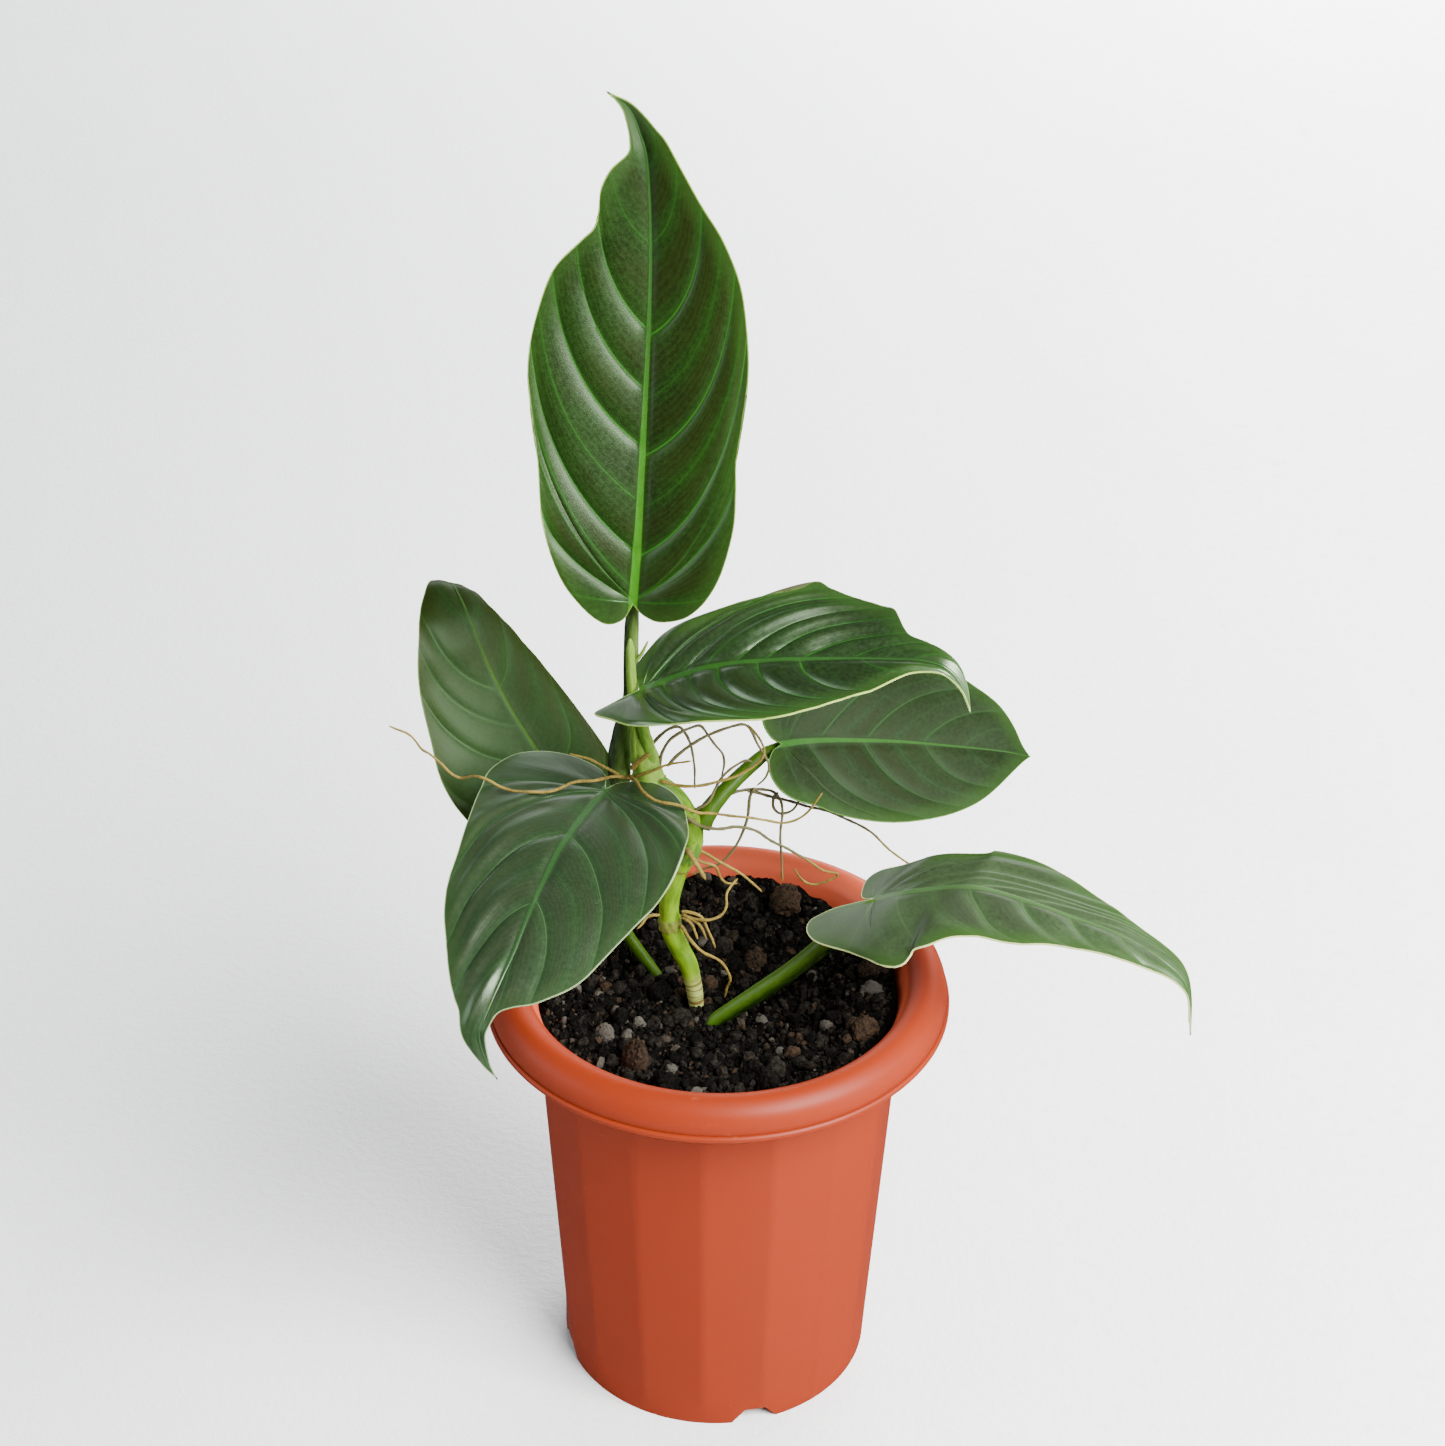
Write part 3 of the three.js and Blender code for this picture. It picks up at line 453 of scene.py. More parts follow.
@dataclass(frozen=True)
class RootFinish:
    """Dry skin of the aerial roots: tan, and olive on the thin shaded ones behind above a height, partly
    their own grey-green and partly painted shade.
    """

    tan: Colour = (0.170, 0.122, 0.024)
    brown: Colour = (0.066, 0.046, 0.0080)
    olive: Colour = (0.064, 0.060, 0.026)
    sheath: Colour = (0.046, 0.105, 0.010)
    lit_below: float = 0.174

    def material(self) -> Material:
        """Makes the material.

        Returns:
            The material.
        """
        skin = Skin("root_skin")
        tone = skin.attribute("tone")
        patch = skin.noise(skin.place(), 110.0, 3.0, 0.6)
        rings = skin.noise(skin.place((1.2, 90, 1), flat=True), 1.0, 3.0, 0.6)
        colour = skin.mix(skin.step(skin.blend(0.5, patch, rings), 0.34, 0.64), self.brown,
                          self.tan)
        # Partly painted shade: shaded roots turn olive above the lit height, where the plant shades them.
        shaded = skin.times(skin.step(tone, 0.0, 1.0, 0.0, 0.9),
                            skin.step(skin.axes()[2], self.lit_below, self.lit_below + 0.014))
        colour = skin.mix(shaded, colour, self.olive)
        colour = skin.mix(skin.step(tone, 0.0, -1.0), colour, self.sheath)
        fine = skin.grain(2400.0, 900.0)
        return skin.finish(colour, 0.7, skin.bump(fine, 0.5, 0.0003), 0.15)


@dataclass(frozen=True)
class SoilFinish:
    """Dark potting mix: near-black crumbs with brown, grey and pale ones among them."""

    black: Colour = (0.0003, 0.0003, 0.0002)
    dark: Colour = (0.0044, 0.0038, 0.0030)
    mid: Colour = (0.0190, 0.0162, 0.0126)
    brown: Colour = (0.031, 0.0190, 0.0112)
    grey: Colour = (0.048, 0.044, 0.036)

    def material(self, name: str, loose: bool) -> Material:
        """Makes the material of the bed or of the loose crumbs.

        Args:
            name: Name of the material.
            loose: Whether it is for crumbs with their own tones.

        Returns:
            The material.
        """
        skin = Skin(name)
        speckle = skin.noise(skin.place(), 900.0, 4.0, 0.7)
        patch = skin.noise(skin.place(), 120.0, 3.0, 0.6)
        colour = skin.mix(skin.step(speckle, 0.35, 0.7), self.black, self.dark)
        if loose:
            tone = skin.attribute("tone")
            lighter = skin.mix(skin.step(speckle, 0.4, 0.7), self.dark, self.mid)
            colour = skin.mix(skin.step(tone, 0.35, 0.55), colour, lighter)
            browned = skin.times(skin.step(tone, 0.85, 0.92), skin.step(speckle, 0.3, 0.62))
            colour = skin.mix(browned, colour, self.brown)
            greyed = skin.times(skin.step(tone, 0.968, 0.98), skin.step(patch, 0.2, 0.5))
            colour = skin.mix(greyed, colour, self.grey)
        height = skin.blend(0.4, speckle, skin.noise(skin.place(), 2600.0, 3.0, 0.6))
        return skin.finish(colour, 0.85, skin.bump(height, 1.0, 0.0009), 0.04)


@dataclass(frozen=True)
class PotFinish:
    """Moulded satin plastic in terracotta orange, with light handling marks and painted light that makes
    its inner wall and the inside of its rim at the back paler.
    """

    main: Colour = (0.172, 0.0182, 0.0042)
    deep: Colour = (0.160, 0.0170, 0.0040)
    # Painted light: the paler colour of the inner wall and of the rim's inner side at the back.
    inner: Colour = (0.390, 0.0640, 0.0300)
    dust: Colour = (0.33, 0.11, 0.055)
    roughness: float = 0.42

    def material(self) -> Material:
        """Makes the plastic.

        Returns:
            The material.
        """
        skin = Skin("pot_plastic_skin")
        cloud = skin.noise(skin.place(), 14.0)
        flow = skin.noise(skin.place((1, 1, 0.12)), 90.0)
        colour = skin.mix(skin.step(cloud, 0.3, 0.75, 0.0, 0.55), self.main, self.deep)
        colour = skin.mix(skin.step(flow, 0.45, 0.75, 0.0, 0.12), colour, self.deep)
        _, back, height = skin.axes()
        # Painted light: the inner wall, and at the back the inner side of the rim, take the paler inner
        # colour.
        away = skin.add("VectorMath", {0: skin.place((1, 1, 0))}, operation="LENGTH")
        reach = skin.step(back, 0.012, 0.040, 0.0606, 0.0688)
        inside = skin.times(skin.step(away.outputs["Value"], reach,
                                      skin.math("ADD", reach, 0.0016), 1.0, 0.0),
                            skin.step(height, 0.1385, 0.1395))
        colour = skin.mix(inside, colour, self.inner)
        scuff = skin.noise(skin.place((1, 1, 2.4), (0.31, 0.2, 0)), 210.0, 4.0, 0.75, 1.2)
        zone = skin.noise(skin.place(shift=(0.7, 0.1, 0.2)), 34.0, 1.0)
        marks = skin.times(skin.step(scuff, 0.62, 0.72), skin.step(zone, 0.56, 0.66, 0.0, 0.3))
        colour = skin.mix(marks, colour, self.dust)
        rough = skin.math("MULTIPLY_ADD", marks, 0.25,
                          skin.step(cloud, 0.3, 0.7, self.roughness - 0.04, self.roughness + 0.05))
        fine = skin.noise(skin.place(), 1500.0, 2.0)
        normal = skin.bump(cloud, 0.25, 0.002, skin.bump(fine, 0.12, 0.0001))
        return skin.finish(colour, rough, normal, 0.12)


LEAF_FINISHES = {finish.name: finish for finish in (
    LeafFinish("leaf_1"),
    LeafFinish(
        "leaf_2", deep=(0.0098, 0.0210, 0.0055), fresh=(0.0155, 0.0360, 0.0092),
        bronze=(0.0175, 0.0205, 0.0060), rib=(0.022, 0.062, 0.012), rib_tip=(0.022, 0.056, 0.013),
        vein=(0.018, 0.052, 0.012), edge_glow=(0.0105, 0.0170, 0.0016), edge=(0.07, 0.12, 0.02),
        bronze_share=0.45, glow_share=0.85, roughness=0.38, gloss=0.085, halo=0.35,
        rib_scale=0.75),
    LeafFinish(
        "leaf_3", deep=(0.0072, 0.0155, 0.0060), fresh=(0.0112, 0.0262, 0.0086),
        bronze=(0.0118, 0.0150, 0.0072), rib=(0.0140, 0.046, 0.010),
        rib_tip=(0.0135, 0.042, 0.011), vein=(0.028, 0.068, 0.024), edge=(0.19, 0.26, 0.12),
        bronze_share=0.6, glow_share=0.2, vein_line=0.36, roughness=0.34, gloss=0.52, grain=0.2,
        halo=0.3, rib_scale=0.78),
    LeafFinish(
        "leaf_4", deep=(0.0016, 0.0048, 0.0004), fresh=(0.0090, 0.0255, 0.0046),
        bronze=(0.0090, 0.0108, 0.0032), rib=(0.014, 0.066, 0.006), edge=(0.34, 0.47, 0.10),
        bronze_share=0.6, glow_share=0.75, gloss=0.95, roughness=0.33, grain=0.13),
    LeafFinish(
        "leaf_5", deep=(0.0044, 0.0086, 0.0022), fresh=(0.0104, 0.0200, 0.0074),
        bronze=(0.0092, 0.0112, 0.0036), rib=(0.017, 0.062, 0.009), rib_tip=(0.014, 0.050, 0.008),
        vein=(0.0120, 0.034, 0.0085), edge=(0.06, 0.14, 0.02), roughness=0.45, gloss=0.06,
        halo=0.4, rib_scale=0.85),
    LeafFinish(
        "leaf_6", deep=(0.0165, 0.0275, 0.0108), fresh=(0.0330, 0.0590, 0.0235),
        bronze=(0.0135, 0.0165, 0.0088), rib=(0.040, 0.088, 0.028), rib_tip=(0.035, 0.076, 0.022),
        vein=(0.044, 0.092, 0.030), edge=(0.42, 0.48, 0.18), bronze_share=0.8, glow_share=0.85,
        roughness=0.38, gloss=0.48, grain=0.2),
)}

# Painted light and shade: each stalk and the shoot are coloured lighter on the side that faces the given
# way.
STALK_FINISHES = {
    "leaf_1": StalkFinish("stalk_olive", light=(0.070, 0.125, 0.022), dark=(0.0028, 0.0110, 0.0006),
                          fleck=(0.05, 0.08, 0.02), painted_light_towards=(0.9, -0.25, 0.3), painted_light_share=0.75,
                          roughness=0.5),
    "leaf_4": StalkFinish("stalk_pale", light=(0.100, 0.185, 0.018), dark=(0.028, 0.080, 0.007)),
    "leaf_6": StalkFinish("stalk_deep", light=(0.040, 0.092, 0.006), dark=(0.0014, 0.0065, 0.0003),
                          painted_light_towards=(-0.75, -0.1, 0.65), painted_light_share=0.8),
}
PLAIN_STALK = StalkFinish("stalk_fresh")
SHOOT_FINISH = StalkFinish("shoot_skin", light=(0.14, 0.23, 0.030), dark=(0.055, 0.120, 0.012),
                           fleck=(0.24, 0.28, 0.07), painted_light_towards=(0.6, -0.5, 0.4))


# Sizes of the plant, as its solids have them


@dataclass(frozen=True)
class Half:
    """One half of a blade.

    Attributes:
        outline: Margin from the stalk to the tip, as distances across and along the midrib.
        lobe: Share of the margin that the veins from the very base reach.
        sweep: How the places on the margin crowd towards the tip.
        reach: How far a vein goes straight out before it turns, as a share of the width.
        rise: How far it has climbed there, as a share of its climb.
        veins: Place and strength of each side vein, from the base to the tip.
        fold: Degrees that the half rises from flat at the midrib, base to tip.
        curl: Degrees that it bends over its width, base to tip.
        puff: Depth in millimetres of the grooves that its side veins lie in.
        pleats: Height in millimetres of the fine folds between them.
        dome: Height of the blade between its veins, as a share of that of a full cushion.
        pale: Share of pale colour along its margin.
        ridges: Place, height and width of each broad fold, along the rows of the blade.
    """

    outline: tuple[Pair, ...]
    lobe: float
    sweep: float
    reach: float
    rise: float
    veins: tuple[Pair, ...]
    fold: tuple[float, ...] = (5, 5, 5, 5)
    curl: tuple[float, ...] = (-10, -10, -10, -10)
    puff: float = 0.5
    pleats: float = 0.0
    dome: float = 0.6
    pale: float = 1.0
    ridges: tuple[Point, ...] = ()


@dataclass(frozen=True)
class LeafShape:
    """A leaf: the line of its midrib, the way its upper side faces, its halves and its stalk."""

    name: str
    half_width: float
    facing: tuple[Point, ...]
    midrib: tuple[Point, ...]
    petiole: tuple[Point, ...]
    petiole_radii: tuple[float, ...]
    left: Half
    right: Half

    def half(self, side: Side) -> Half:
        """The half on one side."""
        return self.left if side is Side.LEFT else self.right


@dataclass(frozen=True)
class RootCluster:
    """Aerial roots that grow from one collar.

    The collar's tone goes from 0 for bark to -1 for green sheath. The shaded roots, by number,
    are olive where they hang in the plant's shade.
    """

    name: str
    collar: tuple[Point, ...]
    collar_radius: float
    collar_tone: float
    shaded: tuple[int, ...]
    routes: tuple[tuple[Point, ...], ...]


LEAVES = (LeafShape(
    "leaf_1", 34, facing=((0, -1, 0.3),) * 3,
    midrib=((-27, 8, 282), (-25.5, 13, 301.5), (-24, 22, 330.5), (-22.5, 31, 362.5), (-22, 37, 389),
        (-23, 41, 411), (-25, 42.5, 419.5), (-28.5, 43.5, 427.5), (-35, 44, 432.5)),
    petiole=((-30.5, 0, 221.1), (-31.2, 1, 224.4), (-31.2, 3, 230.4), (-30.4, 5, 237.1), (-29, 7, 243.9),
        (-27.9, 8.5, 249.3), (-27.8, 9.5, 256.6), (-27.7, 10.3, 263.9), (-27.5, 11, 271.3),
        (-27.1, 12, 278), (-26.7, 13, 283.2)),
    petiole_radii=(3.2, 3.7, 3.65, 3.1, 2.6, 2.4, 2.35, 2.35, 2.35, 2, 1.5),
    left=Half(
        outline=((0, 0), (3, -5), (9, -6), (17, 0), (25, 11), (30, 26), (32, 44), (35, 62), (36, 74),
            (34, 88), (29, 103), (21, 112), (17, 116), (15.5, 121), (14.5, 128), (11, 134), (5.5, 138.5),
            (3.5, 143), (2.5, 149), (1.2, 154), (0, 158)),
        lobe=0.48, sweep=1.17, reach=0.91, rise=0.34, fold=(22, 20, 18, 20), curl=(-10, -15, -15, -10),
        puff=1.2, dome=0.32,
        veins=((0.15, 0.4), (0.296, 0.9), (0.44, 0.3), (0.522, 0.45), (0.574, 1), (0.633, 0.5), (0.69, 1),
            (0.744, 0.8), (0.797, 0.9), (0.87, 0.3), (0.93, 0.2))),
    right=Half(
        outline=((0, 0), (4, -3), (10, -4), (19, 0), (26, 11), (29.5, 26), (29.5, 38), (29, 47), (30, 58),
            (31, 73), (30, 85), (27.5, 99), (22, 112), (16, 121.5), (12, 129), (8, 137), (4.5, 145),
            (2, 151), (0, 158)),
        lobe=0.53, sweep=1.14, reach=0.95, rise=0.22, fold=(22, 20, 18, 20), curl=(-10, -15, -15, -10),
        puff=0.9, dome=0.3,
        veins=((0.15, 0.4), (0.332, 0.9), (0.47, 0.3), (0.569, 1), (0.625, 0.25), (0.68, 1), (0.735, 0.25),
            (0.792, 0.9), (0.87, 0.35), (0.93, 0.2))),
), LeafShape(
    "leaf_2", 27, facing=((0.3, -0.7, 0.7), (0.3, -0.7, 0.7), (0.1, -0.4, 1)),
    midrib=((-42, 24, 192), (-48.6, 27.1, 199), (-54.8, 31.1, 205.8), (-60.5, 35, 213.1),
        (-65.8, 38.3, 221), (-70.7, 41.8, 229), (-75, 45.1, 237.5), (-78.5, 48.3, 246.4), (-82, 53, 253.2),
        (-85.8, 61, 256.3), (-88, 70, 252.7), (-89, 77, 245.6), (-89.3, 81, 236.5)),
    petiole=((-14, 12, 128), (-20, 14.4, 137), (-30, 19, 150.5), (-37, 22, 165.6), (-41.5, 25, 180),
        (-43, 27, 189.5), (-47, 28.5, 195)),
    petiole_radii=(1.7, 1.8, 2, 2, 2, 1.9, 1.4),
    left=Half(
        outline=((0, 0), (4, -6), (12, -9), (21, -5), (28, 6), (32, 23), (32, 36), (28, 48.5), (25, 59),
            (21, 70), (14.5, 82), (9, 90), (5, 99), (2, 108), (0, 121)),
        lobe=0.39, sweep=1.56, reach=0.98, rise=0.35, fold=(5, 5, 5, 0), puff=0.6, pleats=0.05,
        veins=((0.2, 0.4), (0.4, 0.6), (0.52, 0.9), (0.631, 1), (0.694, 0.7), (0.749, 1), (0.84, 0.4),
            (0.92, 0.2))),
    right=Half(
        outline=((0, 0), (4, -6), (11, -8), (18, -3), (24, 9), (28, 22), (29, 35), (25.5, 49), (19, 62),
            (12, 76), (7.5, 88), (4, 99), (2, 108), (0, 121)),
        lobe=0.37, sweep=1.21, reach=1, rise=0.11, fold=(-15, -25, -25, -10), curl=(-15, -15, -15, -10),
        veins=((0.2, 0.4), (0.4, 0.6), (0.608, 1), (0.68, 0.35), (0.752, 0.9), (0.84, 0.3), (0.92, 0.2))),
), LeafShape(
    "leaf_3", 36, facing=((0, -0.2, 1), (0, -0.3, 1), (-0.2, -0.7, 0.5)),
    midrib=((-35, -12, 227.5), (-41, -28, 229), (-47, -46, 230), (-51.5, -60, 227.5), (-55, -74, 226.5),
        (-59, -88, 222), (-62.5, -97, 218), (-66.5, -104, 211), (-68.5, -107, 205.5), (-66.5, -108, 197),
        (-63.5, -108, 190.5)),
    petiole=((-11, -1, 197.5), (-15, -7, 209), (-21.5, -11, 219), (-29, -13, 223.3), (-36.5, -16, 225.5)),
    petiole_radii=(2.2, 2.2, 2.1, 2, 1.5),
    left=Half(
        outline=((0, 0), (2, -5), (8, -9.5), (15, -10), (22, -6), (28.5, 3), (33, 17), (35.5, 36), (34, 50),
            (30, 64), (25, 77), (20.5, 86), (13, 93.5), (6.5, 97.5), (3, 101), (2.2, 107), (1.6, 113),
            (0, 124)),
        lobe=0.56, sweep=1.28, reach=1, rise=0.33, fold=(5, 5, 0, 0), curl=(-15, -15, -15, -10), puff=0.6,
        ridges=((0.19, -1.5, 0.05), (0.31, 3.0, 0.07)),
        veins=((0.18, 0.4), (0.34, 0.8), (0.43, 0.25), (0.507, 1), (0.58, 0.2), (0.656, 1), (0.72, 0.2),
            (0.779, 1), (0.86, 0.35), (0.93, 0.2))),
    right=Half(
        outline=((0, 0), (4, -8), (10, -11), (18, -12.5), (27, -11), (34, -5.5), (36.5, 6), (34, 18),
            (30.5, 35), (28.5, 47), (27, 60), (24.5, 72), (19, 87), (14, 97), (9, 103), (5, 109),
            (2.5, 115), (0, 124)),
        lobe=0.6, sweep=1.52, reach=1, rise=0.23, fold=(5, 5, 0, 0), curl=(-15, -15, -15, -10), puff=0.85,
        pleats=0.3, dome=0.8,
        veins=((0.15, 0.4), (0.3, 0.8), (0.41, 0.25), (0.512, 1), (0.58, 0.2), (0.653, 1), (0.72, 0.2),
            (0.785, 1), (0.86, 0.35), (0.93, 0.2))),
), LeafShape(
    "leaf_4", 30, facing=((0, -0.1, 1), (0, -0.15, 1), (0.3, -0.3, 0.6)),
    midrib=((-24.5, -8, 261), (-9.5, -11, 269.5), (2.5, -14, 274.5), (17.5, -17, 278), (35.5, -20, 280.5),
        (50, -24, 283), (59, -27, 284.5), (66.5, -29.5, 283.5), (71.5, -31, 277.5), (74, -32, 269)),
    petiole=((-21, -3, 229.5), (-22.7, -4, 240), (-24, -6.5, 250), (-22.7, -8.6, 258), (-19, -9.2, 261.5)),
    petiole_radii=(2, 1.9, 1.8, 1.7, 1.3),
    left=Half(
        outline=((0, 0), (4, -1), (9, -1.5), (14, 3), (18.5, 9), (21, 20), (23.5, 34), (25.5, 45), (27, 51),
            (29.5, 55.5), (26.5, 60), (23, 67), (20.5, 73), (18.5, 78), (12, 82), (8.5, 85), (6.5, 91),
            (4.5, 97), (3, 102), (1.5, 107), (0, 114)),
        lobe=0.53, sweep=1.17, reach=1, rise=0.37, fold=(20, 20, 15, 0), puff=1.3, pleats=0.35, dome=0.5,
        pale=0.15,
        veins=((0.2, 0.5), (0.4, 0.6), (0.52, 0.7), (0.587, 1), (0.629, 0.5), (0.676, 1), (0.717, 0.8),
            (0.767, 1), (0.828, 0.6), (0.9, 0.4))),
    right=Half(
        outline=((0, 0), (0.5, -5), (2, -12), (4, -15.5), (10, -8.5), (16, -1), (20, 7), (24, 21),
            (25.5, 36), (25, 47), (22, 57), (18, 68), (14, 77), (9, 84), (6, 89), (4, 95), (2.5, 102),
            (1.2, 107), (0, 114)),
        lobe=0.49, sweep=1.17, reach=1, rise=0.13, fold=(0, 0, 0, 0), puff=1.2, pleats=0.1, dome=1.3,
        veins=((0.2, 0.4), (0.4, 0.7), (0.554, 1), (0.605, 0.6), (0.652, 1), (0.709, 1), (0.764, 1),
            (0.84, 0.4), (0.92, 0.2))),
), LeafShape(
    "leaf_5", 28, facing=((0.3, -0.6, 0.8),) * 3,
    midrib=((19, 20, 224), (28.5, 26, 221.5), (41.5, 32, 218), (58, 40, 212.5), (74.5, 48, 206),
        (92, 56, 199), (102.5, 61, 193.5)),
    petiole=((-6.5, 1, 204.3), (-4, 3, 208.7), (-1.4, 5, 211.9), (2.4, 8, 215.2), (6.4, 11.5, 217.8),
        (10.4, 15.5, 219.5), (14.2, 19.5, 220.8), (18.1, 22.5, 221.2), (22.5, 25, 220)),
    petiole_radii=(3.4, 3, 2.65, 2.5, 2.35, 2.2, 2, 1.7, 1.3),
    left=Half(
        outline=((0, 0), (3, -3.5), (8, -5), (15, -3), (22, 4), (27, 15), (29.5, 28), (30.5, 42),
            (29.5, 56), (26.5, 68), (21.5, 78), (16, 86), (9.5, 91), (3.5, 94.5), (0, 98)),
        lobe=0.53, sweep=1.94, reach=1, rise=0.42, fold=(10, 10, 5, 5),
        veins=((0.2, 0.4), (0.38, 0.4), (0.513, 0.9), (0.604, 1), (0.65, 0.2), (0.699, 1), (0.752, 0.2),
            (0.807, 1), (0.88, 0.4))),
    right=Half(
        outline=((0, 0), (2, -4), (6, -7), (11, -7.5), (16, -5), (20, 1), (24, 13), (27, 27), (27.5, 41),
            (25, 57), (21, 69), (16, 78), (8.5, 87.5), (3, 94), (0, 98)),
        lobe=0.5, sweep=1.53, reach=1, rise=0.15,
        veins=((0.216, 0.6), (0.4, 0.3), (0.578, 1), (0.64, 0.25), (0.696, 1), (0.755, 0.5), (0.813, 1),
            (0.89, 0.4))),
), LeafShape(
    "leaf_6", 30, facing=((0, -0.05, 1), (0, -0.1, 1), (0.1, -0.15, 0.9), (0.5, -0.2, 0.6)),
    midrib=((48.5, -12, 187), (58, -15, 192), (68.5, -18, 196), (77.5, -22, 199.5), (86.5, -25, 199.5),
        (98.5, -30, 198.5), (111, -34, 196), (123, -38, 193.5), (132, -40, 189), (139, -42, 184.5),
        (143.5, -43.5, 179.5), (145.5, -44, 172.5), (146.5, -45, 160.5)),
    petiole=((-4.5, -8.5, 131), (1, -8.5, 137.5), (20, -10, 154.5), (37, -12, 173), (46, -13, 183),
        (53, -14.5, 187.5)),
    petiole_radii=(2.4, 2.7, 3, 3.1, 2.6, 1.6),
    left=Half(
        outline=((0, 0), (3, -5), (9, -7), (17, -8), (22, -5), (22, 3), (22.5, 14), (23, 27), (23.5, 40),
            (22.5, 50), (19.5, 61), (14, 72), (9, 84), (7, 94), (6, 102), (4, 108), (2, 114), (0, 127)),
        lobe=0.59, sweep=1.86, reach=1, rise=0.07, fold=(-5, -5, -5, -5), puff=0.6, pleats=0.35, dome=0.4,
        veins=((0.2, 0.4), (0.377, 0.8), (0.47, 0.6), (0.549, 1), (0.612, 1), (0.674, 1), (0.74, 0.7),
            (0.81, 0.6), (0.88, 0.4))),
    right=Half(
        outline=((0, 0), (-0.5, -6), (0, -14), (3, -20.5), (8, -21.5), (14, -18.5), (19, -13), (25, -3),
            (31, 6), (35.5, 13), (35, 18), (32, 22), (30.5, 30), (25, 35), (22.5, 43), (21, 53), (16, 63),
            (13, 73), (11, 82), (9, 91), (6, 100), (4, 107), (2, 114), (0, 127)),
        lobe=0.37, sweep=1.5, reach=0.94, rise=0.32, curl=(-15, -10, -10, -10), puff=0.9, dome=1,
        veins=((0.18, 0.4), (0.37, 0.5), (0.552, 0.55), (0.61, 0.3), (0.666, 1), (0.733, 1), (0.79, 1),
            (0.848, 0.8), (0.91, 0.4))),
))

